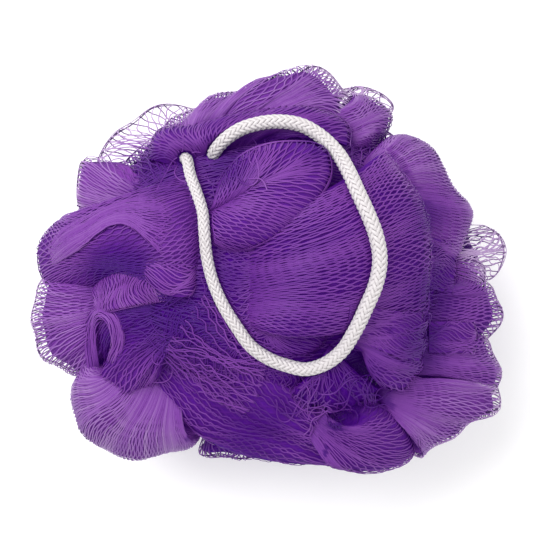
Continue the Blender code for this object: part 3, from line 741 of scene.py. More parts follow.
def make_mesh(name, points, faces, finish, numbers=None, flat_map=None):
    """An object from points in mm and faces of four corners. numbers are values for each point, by name,
    and flat_map holds the place of each face's corners on the texture."""
    mesh = bpy.data.meshes.new(name)
    mesh.vertices.add(len(points))
    mesh.vertices.foreach_set("co", (points * MM).astype(np.float32).ravel())
    mesh.loops.add(faces.size)
    mesh.loops.foreach_set("vertex_index", faces.astype(np.int32).ravel())
    mesh.polygons.add(len(faces))
    mesh.polygons.foreach_set("loop_start", np.arange(0, faces.size, 4, dtype=np.int32))
    mesh.update(calc_edges=True)
    mesh.validate()
    mesh.polygons.foreach_set("use_smooth", np.ones(len(mesh.polygons), bool))
    for key, values in (numbers or {}).items():
        layer = mesh.attributes.new(key, "FLOAT", "POINT")
        layer.data.foreach_set("value", values.astype(np.float32))
    if flat_map is not None and len(mesh.loops) == faces.size:
        places = mesh.uv_layers.new(name="OFBake")
        places.data.foreach_set("uv", flat_map.astype(np.float32).ravel())
    mesh.materials.append(finish)
    made = bpy.data.objects.new(name, mesh)
    bpy.context.collection.objects.link(made)
    return made


class Wire:
    """An output of a shader node. Python's operators on it add the Math nodes that they stand for."""

    def __init__(self, shader, socket):
        self.shader = shader
        self.socket = socket

    def math(self, operation, *values):
        return self.shader.node("ShaderNodeMath", {"operation": operation}, dict(enumerate(values)))

    def __add__(self, other):
        return self.math("ADD", self, other)

    def __radd__(self, other):
        return self.math("ADD", other, self)

    def __sub__(self, other):
        return self.math("SUBTRACT", self, other)

    def __rsub__(self, other):
        return self.math("SUBTRACT", other, self)

    def __mul__(self, other):
        return self.math("MULTIPLY", self, other)

    def __rmul__(self, other):
        return self.math("MULTIPLY", other, self)

    def __truediv__(self, other):
        return self.math("DIVIDE", self, other)

    def fold_back(self, width):
        """Runs up and down between 0 and width."""
        return self.math("PINGPONG", self, width)

    def between(self, low, high):
        """0 below low, 1 above high, and smooth from one to the other."""
        ranged = {"Value": self, "From Min": low, "From Max": high, "To Min": 0.0, "To Max": 1.0}
        return self.shader.node("ShaderNodeMapRange", {"interpolation_type": "SMOOTHSTEP"}, ranged)

    def larger(self, other):
        return self.math("MAXIMUM", self, other)


class Shader:
    """A material that is built from expressions."""

    def __init__(self, name):
        self.material = bpy.data.materials.new(name)
        self.material.use_nodes = True
        self.tree = self.material.node_tree
        self.tree.nodes.clear()

    def node(self, kind, settings, inputs, output=0):
        """Adds a node: first its settings, then the values or links of its sockets."""
        made = self.tree.nodes.new(kind)
        for key, value in settings.items():
            setattr(made, key, value)
        for key, value in inputs.items():
            if isinstance(value, Wire):
                self.tree.links.new(value.socket, made.inputs[key])
            else:
                made.inputs[key].default_value = value
        return Wire(self, made.outputs[output]) if len(made.outputs) else None

    def number(self, name):
        """A number that the mesh carries at each point."""
        return self.node("ShaderNodeAttribute", {"attribute_name": name}, {}, "Fac")

    def noise(self, size, detail=2.0):
        """Soft blotches of about this size in mm, fixed to the object."""
        place = self.node("ShaderNodeTexCoord", {}, {}, "Object")
        sockets = {"Vector": place, "Scale": 1 / (size * MM), "Detail": detail}
        return self.node("ShaderNodeTexNoise", {}, sockets)

    def mix(self, share, first, second):
        """Two colours mixed: all first where the share is 0, and all second where it is 1."""
        colours = [(*c, 1.0) if isinstance(c, tuple) and len(c) == 3 else c for c in (first, second)]
        sockets = {0: share, 6: colours[0], 7: colours[1]}
        return self.node("ShaderNodeMix", {"data_type": "RGBA", "blend_type": "MIX"}, sockets, 2)

    def finish(self, colour, roughness, height=None, bump=0.3, distance=0.2, **fixed):
        """Closes the material with a Principled shader, and a bump from height in mm."""
        sockets = {"Base Color": (*colour, 1.0) if isinstance(colour, tuple) else colour,
                   "Roughness": roughness}
        if height is not None:
            normal = self.node("ShaderNodeBump", {}, {"Strength": bump, "Distance": distance * MM,
                                                      "Height": height})
            sockets["Normal"] = normal
        for key, value in fixed.items():
            sockets[key.replace("_", " ")] = value
        surface = self.node("ShaderNodeBsdfPrincipled", {}, sockets)
        self.node("ShaderNodeOutputMaterial", {}, {"Surface": surface})
        return self.material


def shade(colour, share):
    """A colour made darker, as a share of itself."""
    return tuple(part * share for part in colour[:3])


def strand_finish(look):
    """Extruded net strand: satin violet plastic, in painted shade between the folds and in painted light
    where it lies alone, with a faint painted glow for light through the plastic.
    """
    shader = Shader("violet net strands")
    tone = shader.number("tone")
    # The tone number carries painted shade and light: the colour runs from painted shade through the
    # strand's own violet to painted light
    colour = shader.mix(tone.between(0.0, 0.4), tuple(look.gap_shade_colour), tuple(look.deep_colour))
    colour = shader.mix(tone.between(0.3, 0.72), colour, tuple(look.strand_colour))
    colour = shader.mix(tone.between(0.68, 0.9), colour, tuple(look.pale_colour))
    colour = shader.mix(tone.between(0.86, 1.0), colour, tuple(look.lone_colour))
    roughness = 0.5 - 0.08 * tone
    return shader.finish(colour, roughness, Specular_IOR_Level=0.18, Emission_Strength=STRAND_GLOW,
                         Emission_Color=(*look.gap_shade_colour, 1.0))


def layer_finish(look):
    """Layers of net behind the outer one: crossing strands over gaps in painted shade, milky where many lie
    close.
    Their strands and milky colour show as far as the painted light lets them, and they have a faint painted
    glow.
    """
    shader = Shader("violet net layers")
    first, second = shader.number("strand_a"), shader.number("strand_b")
    lines = first.fold_back(0.5).between(0.24, 0.42).larger(second.fold_back(0.5).between(0.24, 0.42))
    tone, light = shader.number("tone"), shader.number("light")
    uneven = shader.noise(9.0)
    gap = shader.mix(uneven.between(0.35, 0.7), tuple(look.gap_shade_colour), shade(look.gap_shade_colour, 1.5))
    # Strand lines lighter and milky colour stronger where the painted light number is high
    colour = shader.mix(lines * (0.15 + 0.55 * light), gap, tuple(look.deep_colour))
    close = tone.between(0.1, 0.85) * (0.7 + 0.3 * uneven.between(0.3, 0.65)) * light.between(0.1, 0.7)
    colour = shader.mix(close, colour, tuple(look.milky_colour))
    return shader.finish(colour, 0.55 + 0.15 * (1 - lines), height=lines, bump=0.5, distance=0.25,
                         Specular_IOR_Level=0.04, Emission_Strength=LAYER_GLOW,
                         Emission_Color=(*look.gap_shade_colour, 1.0))


def yarn_finish(cord):
    """Strand of the braid: white, slightly glossy yarn with fine filaments along it, in painted shade where
    it dives under another strand.
    """
    shader = Shader("white braid yarn")
    across, height = shader.number("across"), shader.number("tone")
    filaments = across.fold_back(0.5) * 2
    colour = shader.mix(height.between(0.25, 0.98), tuple(cord.shade_colour), tuple(cord.yarn_colour))
    colour = shader.mix(filaments * 0.12, colour, tuple(cord.shade_colour))
    return shader.finish(colour, 0.38 + 0.14 * filaments, height=filaments, bump=0.35, distance=0.08,
                         Specular_IOR_Level=0.5, Sheen_Weight=0.15, Sheen_Roughness=0.4)


def core_finish(cord):
    """Inside of the braid, seen only between its strands, in painted shade: the recess colour made darker,
    in uneven blotches.
    """
    shader = Shader("white braid core")
    uneven = shader.noise(0.6)
    dark, light = shade(cord.shade_colour, 0.55), shade(cord.shade_colour, 0.8)
    colour = shader.mix(uneven.between(0.3, 0.7), dark, light)
    return shader.finish(colour, 0.7, height=uneven, bump=0.3, distance=0.1)


def twine_finish(cord):
    """Wound twine of the tie: white, matt, with the turns and the twist of the yarn, and painted shade in
    the grooves between the turns.
    """
    shader = Shader("white twine")
    place = shader.node("ShaderNodeTexCoord", {}, {}, "Object")
    height = shader.node("ShaderNodeSeparateXYZ", {}, {"Vector": place}, "Z")
    turns = (height / (0.7 * MM)).fold_back(0.5) * 2
    uneven = shader.noise(0.5)
    colour = shader.mix(turns * 0.5 + uneven * 0.3, shade(cord.shade_colour, 0.8), tuple(cord.yarn_colour))
    return shader.finish(colour, 0.7 + 0.1 * uneven, height=turns + 0.3 * uneven, bump=0.6, distance=0.2,
                         Sheen_Weight=0.2, Sheen_Roughness=0.5)


def floor_finish(stage):
    """Plain pale matt floor with a faint unevenness."""
    shader = Shader("pale floor")
    uneven = shader.noise(120.0)
    colour = shader.mix(uneven.between(0.2, 0.8), tuple(stage.floor_colour),
                        shade(stage.floor_colour, 0.985))
    return shader.finish(colour, 0.9, Specular_IOR_Level=0.1, Emission_Color=(1.0, 1.0, 1.0, 1.0),
                         Emission_Strength=stage.floor_glow)


def loop_grid(fold):
    """A fold's net as one grid, from the root over the front to the rim and behind it to the root."""
    u, v = rows_and_columns(LOOP_ROWS, LOOP_COLUMNS)
    front, back = fold_layers(fold, u, v)
    grid = np.concatenate([front, back[-2::-1]])
    normal = unit(np.cross(np.gradient(grid, axis=0), np.gradient(grid, axis=1)))
    middle = (LOOP_ROWS // 2, LOOP_COLUMNS // 2)
    if np.dot(normal[middle], front[middle] - back[middle]) < 0:
        normal = -normal
    return grid, normal


def read_grid(grid, rows, columns):
    """Points between a grid's own, at rows and columns that needn't be whole numbers."""
    rows = np.clip(rows, 0, grid.shape[0] - 1.001)
    columns = np.clip(columns, 0, grid.shape[1] - 1.001)
    i, j = rows.astype(int), columns.astype(int)
    s, t = (rows - i)[..., None], (columns - j)[..., None]
    left = grid[i, j] * (1 - s) + grid[i + 1, j] * s
    right = grid[i, j + 1] * (1 - s) + grid[i + 1, j + 1] * s
    return left * (1 - t) + right * t


def smooth_noise(rng, count, steps, knots_used):
    """Smooth random lines of values between -1 and 1, one line for each strand."""
    values = rng.uniform(-1, 1, (knots_used, count))
    return smooth_through(values, np.linspace(0, 1, steps)).T


def fold_strands(fold, net, rng):
    """Strands that run all round one fold of net, each touching its left and its right neighbour in turn."""
    grid, normals = loop_grid(fold)
    last_row = grid.shape[0] - 1
    count = max(14, int(2 * rim_length(fold) / (fold.gap * net.spacing)))
    cells = fold_length(fold) / (net.cell_length * fold.stretch)
    steps = max(net.loop_steps, int(net.cell_steps * cells)) * (1 if fold.cut_edge else 2)
    loop = np.linspace(0, 1 if fold.cut_edge else 2, steps + 1)[None]
    there = 1 - np.abs(loop - 1)
    run = 0.65 * there + 0.35 * np.sin(math.pi / 2 * there)
    places = np.arcsin(np.clip(run, 0, 1)) * 2 / math.pi
    places = np.where(loop <= 1, places, 2 - places)
    run = np.where(loop <= 1, run, 2 - run)
    bunches, turns = rng.integers(2, 5), rng.uniform(0.5, 1.3)
    phases = 2 * math.pi * rng.uniform(0, 1, 5)
    start = ((np.arange(count) + 0.5 + START_JITTER * rng.uniform(-1, 1, count)) / count)[:, None]
    flow = start + STRAND_DRIFT / count * np.sin(2 * math.pi * (turns * run + start) + phases[0])
    wander = CELL_WANDER * np.sin(2 * math.pi * (1.7 * start + 0.6 * run) + phases[1])
    swing = np.clip(CELL_SWING * np.cos(math.pi * cells * run + wander + phases[2]), -1, 1)
    patches = (np.sin(2 * math.pi * (2.3 * start - 0.9 * run) + phases[3])
               + np.sin(2 * math.pi * (1.1 * start + 2.1 * run) + phases[1]))
    opened = CELL_OPENING * (0.68 + 0.24 * patches)
    v = flow + np.where(np.arange(count) % 2, -1, 1)[:, None] * opened / count * swing
    stray = (STRAND_STRAY + TANGLE_STRAY * fold.tangle) / count
    v = v + stray * smooth_noise(rng, count, steps + 1, 9)
    v = v + BUNCHING * np.sin(2 * math.pi * bunches * v + phases[4]) / (2 * math.pi * bunches)
    rows = np.repeat(places * (LOOP_ROWS - 1), count, axis=0)
    rows = np.where((v > 1) | (v < 0), last_row - rows, rows)
    v = np.clip(np.where(v > 1, 2 - v, np.abs(v)), 0, 1)
    columns = np.arccos(1 - 2 * v) / math.pi * (LOOP_COLUMNS - 1)
    normal = unit(read_grid(normals, rows, columns))
    rise = STRAND_RISE + RISE_SPREAD * smooth_noise(rng, count, steps + 1, 9)
    lines = read_grid(grid, rows, columns) + normal * rise[..., None]
    # The fold's tone, paler as painted light on see-through folds where the strands lie alone, and a random
    # spread
    tones = 0.55 + 0.36 * fold.tone + 0.3 * min(fold.open_net, 0.6) + TONE_SPREAD * rng.uniform(-1, 1, count)
    return lines, normal, tones, np.repeat(np.minimum(run, 2 - run), count, axis=0)


def rim_lines(fold, rng):
    """Strands that run along a fold's rim, where its net turns back, and give it a clean outline."""
    grid, normals = loop_grid(fold)
    steps = 70
    count = 5 if fold.open_net > 0.2 else 4
    columns = np.repeat(np.linspace(0.5, LOOP_COLUMNS - 1.5, steps)[None], count, axis=0)
    spread = 1.6 + 3.0 * min(fold.open_net, 0.5)
    rows = LOOP_ROWS - 1 + spread * smooth_noise(rng, count, steps, 9)
    normal = unit(read_grid(normals, rows, columns))
    tones = 0.58 + 0.4 * fold.tone + TONE_SPREAD * rng.uniform(-1, 1, count)
    return read_grid(grid, rows, columns) + normal * 0.1, normal, tones, np.full((count, steps), 1.0)


def edge_loops(fold, net, rng):
    """Small loops of strand that stand out of a cut rim of net."""
    grid, normals = loop_grid(fold)
    count = int(rim_length(fold) / (fold.gap * net.spacing))
    steps = 11
    turn = np.linspace(0, 1, steps)
    lines, outward = [], []
    for k in range(count):
        v = (k + 0.3 + 0.4 * rng.uniform()) / count
        width = rng.uniform(0.9, 1.9) / count
        reach = rng.uniform(0.8, 2.4)
        across = v + width * np.cos(math.pi * turn) * 0.6
        columns = np.arccos(1 - 2 * np.clip(across, 0.001, 0.999)) / math.pi * (LOOP_COLUMNS - 1)
        rim = read_grid(grid, np.full(steps, LOOP_ROWS - 1.0), columns)
        inner = read_grid(grid, np.full(steps, LOOP_ROWS - 9.0), columns)
        normal = unit(read_grid(normals, np.full(steps, LOOP_ROWS - 6.0), columns))
        out = unit(rim - inner)
        height = (np.sin(math.pi * turn) * reach)[:, None]
        lines.append(rim - out * 0.8 + out * height + normal * (0.25 + rng.uniform(0, 0.5)))
        outward.append(normal)
    tones = 0.7 + 0.15 * rng.uniform(-1, 1, count)
    return np.array(lines), np.array(outward), tones, np.full((count, steps), 0.9)


def loose_curls(tree, spots, rng):
    """Loose curled lengths of strand that lie on the net, at spots of x, y, spread, count and length."""
    steps = 30
    lines, tones = [], []
    for x, y, spread, count, length in spots:
        for _ in range(count):
            step = length * rng.uniform(0.6, 1.2) / steps
            bends = rng.uniform(-0.55, 0.55, (5, 1))
            turns = np.cumsum(smooth_through(bends, np.linspace(0, 1, steps)))
            headings = rng.uniform(0, 2 * math.pi) + turns * step
            path = np.stack([np.cumsum(np.cos(headings)), np.cumsum(np.sin(headings))], axis=1) * step
            path += np.array([x, y]) + rng.uniform(-1, 1, 2) * spread - path.mean(axis=0)
            heights = []
            for place in path * MM:
                hit = tree.ray_cast(Vector((place[0], place[1], 0.1)), Vector((0, 0, -1)))[0]
                heights.append(hit.z / MM if hit else 30.0)
            level = np.convolve(np.pad(heights, 3, mode="edge"), np.ones(7) / 7, mode="valid")
            arch = 0.9 * rng.uniform() * np.sin(np.linspace(0, math.pi, steps))
            lines.append(np.column_stack([path, np.maximum(heights, level) + 0.25 + arch]))
            tones.append(rng.uniform(0.5, 0.85))
    outward = np.tile([0.0, 0.0, 1.0], (len(lines), steps, 1))
    return np.array(lines), outward, np.array(tones), np.full((len(lines), steps), 0.9)


def ramp(values, low, high):
    """0 below low, 1 above high, and straight from one to the other."""
    return np.clip((values - low) / (high - low), 0, 1)


def painted_light_share(points, light, lips=False):
    """Share of painted light from 0 to 1 at points in mm: their openness, less painted shade where the
    gather draws the net down into itself. A lip of net that stands up over such a place keeps its painted
    light."""
    level = ramp(light, *LIGHT_RANGE)
    share = level
    for x, y, radius, strength in PAINTED_SHADE_SPOTS:
        gap = np.hypot(points[:, 0] - x, points[:, 1] - y) / radius
        top = ramp(points[:, 2], *SHADED_HEIGHTS)
        share = share * (1 - strength * top * np.exp(-gap**2))
    return np.where(lips, np.maximum(level, LIP_LIGHT), share)


def strand_shades(tones, alongs, share, glow=0.0):
    """How light each point of a strand is painted: its own tone, less the painted shade of its place in the
    folds and near the gathered root, and more painted light by glow along a rim that stands alone in the
    light."""
    # Painted shade towards the gathered root, and painted light along an open rim
    painted_root_shade = 0.8 + 0.2 * ramp(alongs, 0, 0.5)
    rim = glow * ramp(alongs, 0.86, 0.98) * ramp(share, 0.5, 0.9)
    return np.clip(tones[:, None] * (0.16 + 0.84 * share**1.2) * painted_root_shade + rim, 0, 1)


def strand_skin(lines, outward, shades, kept, width):
    """Roof-shaped ribbons along lines of strand, leaving out the stretches that aren't kept."""
    strands, steps = lines.shape[:2]
    along = unit(np.gradient(lines, axis=1))
    side = unit(np.cross(along, outward)) * width / 2
    ridge = unit(outward) * width * 0.42
    points = np.stack([lines - side, lines + ridge, lines + side], axis=2)
    base = (np.arange(strands)[:, None] * steps + np.arange(steps - 1)[None]) * 3
    base = base[kept]
    first = np.stack([base, base + 1, base + 4, base + 3], axis=1)
    second = np.stack([base + 1, base + 2, base + 5, base + 4], axis=1)
    faces = np.concatenate([first, second])
    x = 0.02 + 0.96 * shades[..., None] + np.array([-0.008, 0, 0.008])
    y = np.broadcast_to(np.linspace(0.01, 0.99, steps)[None, :, None], (strands, steps, 3))
    spots = np.stack([x, y], axis=-1).reshape(-1, 2)
    used, faces_packed = np.unique(faces, return_inverse=True)
    faces_packed = faces_packed.reshape(faces.shape)
    numbers = {"tone": np.repeat(shades.ravel(), 3)[used]}
    return points.reshape(-1, 3)[used], faces_packed, numbers, spots[faces]


def join_skins(skins):
    """Several skins as the points, faces, numbers and texture places of one."""
    points, faces, flat, numbers, start = [], [], [], {}, 0
    for skin_points, skin_faces, skin_numbers, skin_flat in skins:
        points.append(skin_points)
        faces.append(skin_faces + start)
        flat.append(skin_flat)
        for key, values in skin_numbers.items():
            numbers.setdefault(key, []).append(values)
        start += len(skin_points)
    return (np.concatenate(points), np.concatenate(faces),
            {key: np.concatenate(values) for key, values in numbers.items()}, np.concatenate(flat))


def rows_and_columns(rows, columns):
    """Places of a fold's rows and columns from 0 to 1, closer together towards its rim and its sides."""
    return np.sin(np.linspace(0, math.pi / 2, rows)), (1 - np.cos(np.linspace(0, math.pi, columns))) / 2


def grid_faces(rows, columns, turned=False):
    """Faces of a grid of points by row and column, and facing the other way where turned."""
    index = np.arange(rows * columns).reshape(rows, columns)
    corners = [index[:-1, :-1], index[1:, :-1], index[1:, 1:], index[:-1, 1:]]
    return np.stack(corners[::-1] if turned else corners, axis=-1).reshape(-1, 4)


def cell_spots(place, cells_across, rows, columns):
    """Places on the texture of a grid of points, in its own cell of a square of cells."""
    x = (place % cells_across + 0.04 + 0.92 * np.linspace(0, 1, columns)) / cells_across
    y = (place // cells_across + 0.04 + 0.92 * np.linspace(0, 1, rows)) / cells_across
    return np.stack(np.meshgrid(x, y), axis=-1).reshape(-1, 2)


def crossing_numbers(across, run, tone):
    """The two counts of strands that cross at each point of a grid, and its tone."""
    across, run = np.meshgrid(across, run)
    return {"strand_a": (across + run).ravel(), "strand_b": (across - run).ravel(),
            "tone": np.full(across.size, tone)}


def pocket_skin(fold, net, cell, cells_across):
    """Inner layers of one fold: a closed pocket just inside the outer net, ending short of its rim."""
    rows, columns = 15, 25
    u, v = rows_and_columns(rows, columns)
    length = fold_length(fold)
    inset = net.layer_inset * (1.25 - fold.tone)
    reach = 1 - max(fold.open_net, (net.rim_inset if fold.tone < 0.7 else 0.15) / length)
    edge = min(0.4 * fold.open_net, 0.25) if fold.open_net > 0.15 else net.rim_inset / rim_length(fold)
    front, back = fold_layers(fold, u, edge + v * (1 - 2 * edge), reach, inset)
    count = rim_length(fold) / (fold.gap * net.spacing)
    slope = length / (2 * net.cell_length * fold.stretch)
    skins = []
    for number, layer in enumerate((front, back)):
        faces = grid_faces(rows, columns, turned=not number)
        spots = cell_spots(cell * 2 + number, cells_across, rows, columns)
        numbers = crossing_numbers(v * count, u * reach * slope, fold.tone)
        skins.append((layer.reshape(-1, 3), faces, numbers, spots[faces]))
    return join_skins(skins)


def lobe_skin(centre, half_sizes, place, cells_across):
    """A closed rounded lobe of packed net."""
    rows, columns = 25, 49
    up = np.linspace(-math.pi / 2 + 0.01, math.pi / 2 - 0.01, rows)
    around = np.linspace(0, 2 * math.pi, columns)
    ring = np.stack([np.outer(np.cos(up), np.cos(around)), np.outer(np.cos(up), np.sin(around)),
                     np.outer(np.sin(up), np.ones(columns))], axis=-1)
    points = ring * np.array(half_sizes) + np.array(centre)
    faces = np.roll(grid_faces(rows, columns, turned=True), 1, axis=1)
    spots = cell_spots(place, cells_across, rows, columns)
    # Its low tone leaves the packed net in painted shade, without the milky colour
    numbers = crossing_numbers(np.linspace(0, 120, columns), np.linspace(0, 9, rows), 0.1)
    return points.reshape(-1, 3), faces, numbers, spots[faces]


def carried_frame(line):
    """Two directions square to a line at each of its points, carried along it without a twist."""
    along = unit(np.gradient(line, axis=0))
    side = np.zeros_like(line)
    side[0] = unit(np.cross(along[0], np.array([0.3, 0.5, 1.0])))
    for k in range(1, len(line)):
        side[k] = unit(side[k - 1] - np.dot(side[k - 1], along[k]) * along[k])
    return side, np.cross(along, side)


def yarn_skin(line, out, size, tone, sides):
    """Skin of one flat oval strand, open at its ends, with its half width and half thickness."""
    along = unit(np.gradient(line, axis=0))
    out = unit(out - (out * along).sum(axis=1, keepdims=True) * along)
    across = np.cross(along, out)
    turn = np.linspace(0, 2 * math.pi, sides + 1)
    half_width, half_height = (np.broadcast_to(part, len(line))[:, None, None] for part in size)
    ring = (np.cos(turn)[None, :, None] * half_width * across[:, None]
            + np.sin(turn)[None, :, None] * half_height * out[:, None])
    points = line[:, None] + ring
    steps, columns = len(line), sides + 1
    faces = grid_faces(steps, columns)
    x = np.broadcast_to(np.linspace(0.02, 0.98, columns)[None], (steps, columns))
    turned = np.arange(steps) % (LEAD_STEPS + 1) / LEAD_STEPS
    y = np.broadcast_to((0.02 + 0.96 * turned)[:, None], (steps, columns))
    spots = np.stack([x, y], axis=-1).reshape(-1, 2)
    numbers = {"tone": np.repeat(tone, columns), "across": np.tile(np.linspace(0, 6, columns), steps)}
    return points.reshape(-1, 3), faces, numbers, spots[faces]


def amount(name, default, low, high, description):
    """A number that a user can change."""
    return bpy.props.FloatProperty(name=name, default=default, min=low, max=high, description=description)


def tint(name, default, description):
    """A colour that a user can change."""
    return bpy.props.FloatVectorProperty(name=name, subtype="COLOR", size=3, min=0, max=1, default=default,
                                         description=description)


class PoufNet(bpy.types.PropertyGroup):
    """Sizes of the net's strands and layers, and its colours."""

    spacing: amount("Strand spacing", 1.4, 0.5, 3.0,
                    "Distance between the strands, as a share of each fold's own")
    strand_width: amount("Strand width", 0.36, 0.1, 1.0, "Width of one extruded strand, in mm")
    cell_length: amount("Cell length", 2.0, 1.0, 20.0,
                        "Length of the net's open cells along the folds, in mm")
    loop_steps: bpy.props.IntProperty(
        name="Steps", default=16, min=6, max=60,
        description="Fewest stretches that a strand has from the root of a fold to its rim")
    cell_steps: amount("Steps per cell", 2.3, 1.0, 8.0,
                       "Stretches of a strand for each half of an open cell")
    layer_inset: amount("Layer inset", 0.45, 0.1, 2.0,
                        "How far the inner layers lie inside the outer net, in mm")
    rim_inset: amount("Rim inset", 0.45, 0.2, 5.0, "How far the inner layers end from a fold's rim, in mm")
    hidden_depth: amount("Hidden depth", 2.2, 0.3, 5.0,
                         "Strands are left out deeper than this inside the packed netting, in mm")
    # The net's colours are lit and shaded copies of one violet: shaded strands and gaps are painted shade,
    # pale and lone strands painted light, and the close layers show their milky colour only in painted light
    strand_colour: tint("Strands", (0.16, 0.038, 0.268), "Colour of a net strand in full light")
    pale_colour: tint("Pale strands", (0.25, 0.105, 0.36),
                      "Colour of strands on the milky folds in full light")
    lone_colour: tint("Lone strands", (0.40, 0.27, 0.47),
                      "Colour of the palest strands, where the net lies alone in the light")
    deep_colour: tint("Shaded strands", (0.066, 0.006, 0.16),
                      "Colour of strands in the shade of other folds")
    # Painted shade deep between the folds and in the gaps of the net, also the colour of the net's painted
    # glow
    gap_shade_colour: tint("Gaps", (0.036, 0.0008, 0.135), "Colour deep between the folds")
    milky_colour: tint("Close layers", (0.19, 0.048, 0.30),
                       "Colour where many layers of net lie close together")


class PoufCord(bpy.types.PropertyGroup):
    """Sizes and colours of the braided cord and the twine of the tie."""

    braid_radius: amount("Braid radius", 1.55, 0.5, 5.0,
                         "Distance from the cord's middle line to the middle of its strands, in mm")
    weave_height: amount("Weave height", 0.2, 0.0, 1.0,
                         "How far the strands rise and fall as they cross, in mm")
    yarn_width: amount("Strand width", 1.02, 0.2, 3.0, "Width of one strand of the braid, in mm")
    yarn_thickness: amount("Strand thickness", 0.6, 0.1, 2.0, "Thickness of one strand of the braid, in mm")
    lead: amount("Lead", 12.5, 4.0, 40.0, "Length of cord in which a strand goes once round it, in mm")
    core_radius: amount("Core radius", 1.2, 0.3, 4.0, "Radius of the yarn inside the braid, in mm")
    yarn_colour: tint("Yarn", (0.60, 0.565, 0.575), "Colour of the yarn in full light")
    # Painted shade of the yarn in the braid's recesses, also used for the core and the twine's grooves
    shade_colour: tint("Recesses", (0.50, 0.465, 0.48),
                       "Colour of the yarn where strands dive under one another")


class PoufStage(bpy.types.PropertyGroup):
    """Floor and lights."""

    floor_colour: tint("Floor", (0.93, 0.93, 0.93), "Colour of the floor")
    floor_glow: amount("Floor glow", 0.15, 0.0, 1.0,
                       "Light that the lit floor gives off by itself, as in a photographer's light tent")
    key_power: bpy.props.FloatProperty(
        name="Key light", default=4.1, min=0.0, max=200.0, unit="POWER",
        description="Power of the large light above")
    fill_power: bpy.props.FloatProperty(
        name="Fill light", default=1.2, min=0.0, max=200.0, unit="POWER",
        description="Power of the softer light from the other side")
    world_strength: amount("Surroundings", 0.72, 0.0, 5.0, "Strength of the white surroundings")


class POUF_OT_stage(bpy.types.Operator):
    """Adds the camera straight above, the floor and the soft lights."""

    bl_idname = "pouf.stage"
    bl_label = "Camera, floor and lights"

    def execute(self, context):
        look = context.scene.pouf_stage
        distance = (MIDDLE_HEIGHT + CAMERA_DISTANCE) * MM
        middle = PICTURE_SIDE / 2
        x = (middle - PICTURE_ORIGIN[0]) * PICTURE_SCALE * MM
        y = (PICTURE_ORIGIN[1] - middle) * PICTURE_SCALE * MM
        camera_data = bpy.data.cameras.new("camera")
        camera_data.sensor_width = SENSOR
        camera_data.lens = SENSOR * CAMERA_DISTANCE / (PICTURE_SIDE * PICTURE_SCALE)
        camera_data.clip_start = 0.01
        camera = bpy.data.objects.new("camera", camera_data)
        camera.location = (x, y, distance)
        context.collection.objects.link(camera)
        context.scene.camera = camera

        bpy.ops.mesh.primitive_plane_add(size=FLOOR_SIZE, location=(0, 0, 0))
        floor = context.active_object
        floor.name = "floor"
        floor.data.materials.append(floor_finish(look))

        for name, place, size in LIGHTS:
            lamp_data = bpy.data.lights.new(name + "_light", "AREA")
            lamp_data.size = size
            lamp_data.energy = getattr(look, name + "_power")
            lamp = bpy.data.objects.new(name + "_light", lamp_data)
            lamp.location = place
            aim = Vector(LIGHT_AIM) - Vector(place)
            lamp.rotation_euler = aim.to_track_quat("-Z", "Y").to_euler()
            context.collection.objects.link(lamp)
        world = bpy.data.worlds.new("surroundings")
        world.use_nodes = True
        backdrop = world.node_tree.nodes["Background"]
        backdrop.inputs["Color"].default_value = (1.0, 1.0, 1.0, 1.0)
        backdrop.inputs["Strength"].default_value = look.world_strength
        context.scene.world = world
        context.scene.view_settings.view_transform = "Standard"
        return {"FINISHED"}


class POUF_OT_layers(bpy.types.Operator):
    """Builds the inner layers of net behind every fold."""

    bl_idname = "pouf.layers"
    bl_label = "Inner layers of net"

    def execute(self, context):
        net = context.scene.pouf_net
        folds = [fold for fold in all_folds() if fold.backed]
        cells_across = math.ceil(math.sqrt(2 * len(folds) + 2))
        skins = [pocket_skin(fold, net, number, cells_across) for number, fold in enumerate(folds)]
        lips = np.concatenate([np.full(len(skin[0]), fold.lip) for skin, fold in zip(skins, folds)])
        rest_centre = (BODY_CENTRE[0], BODY_CENTRE[1], REST_FOLD_MIDDLE)
        for number, (centre, half) in enumerate(((BODY_CENTRE, BODY_HALF), (rest_centre, REST_FOLD_HALF))):
            half = np.array(half) - LOBE_INSET
            skins.append(lobe_skin(centre, half, 2 * len(folds) + number, cells_across))
        points, faces, numbers, flat_map = join_skins(skins)
        points = CordRoom(LAYER_ROOM + net.layer_inset).press(points)
        points[:, 2] = np.maximum(points[:, 2], LAYER_FLOOR)
        depth, light = packed_netting().read(points)
        lips = np.concatenate([lips, np.zeros(len(points) - len(lips), bool)])
        # Painted light of the layers: their openness and the painted shade spots, with painted shade that
        # deepens the further they lie inside the packed netting
        numbers["light"] = painted_light_share(points, light, lips) * np.exp(-np.clip(depth - 0.8, 0, 9) / 2.0)
        layers = make_mesh("net_layers", points, faces, layer_finish(net), numbers, flat_map)
        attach(layers, "root")
        return {"FINISHED"}


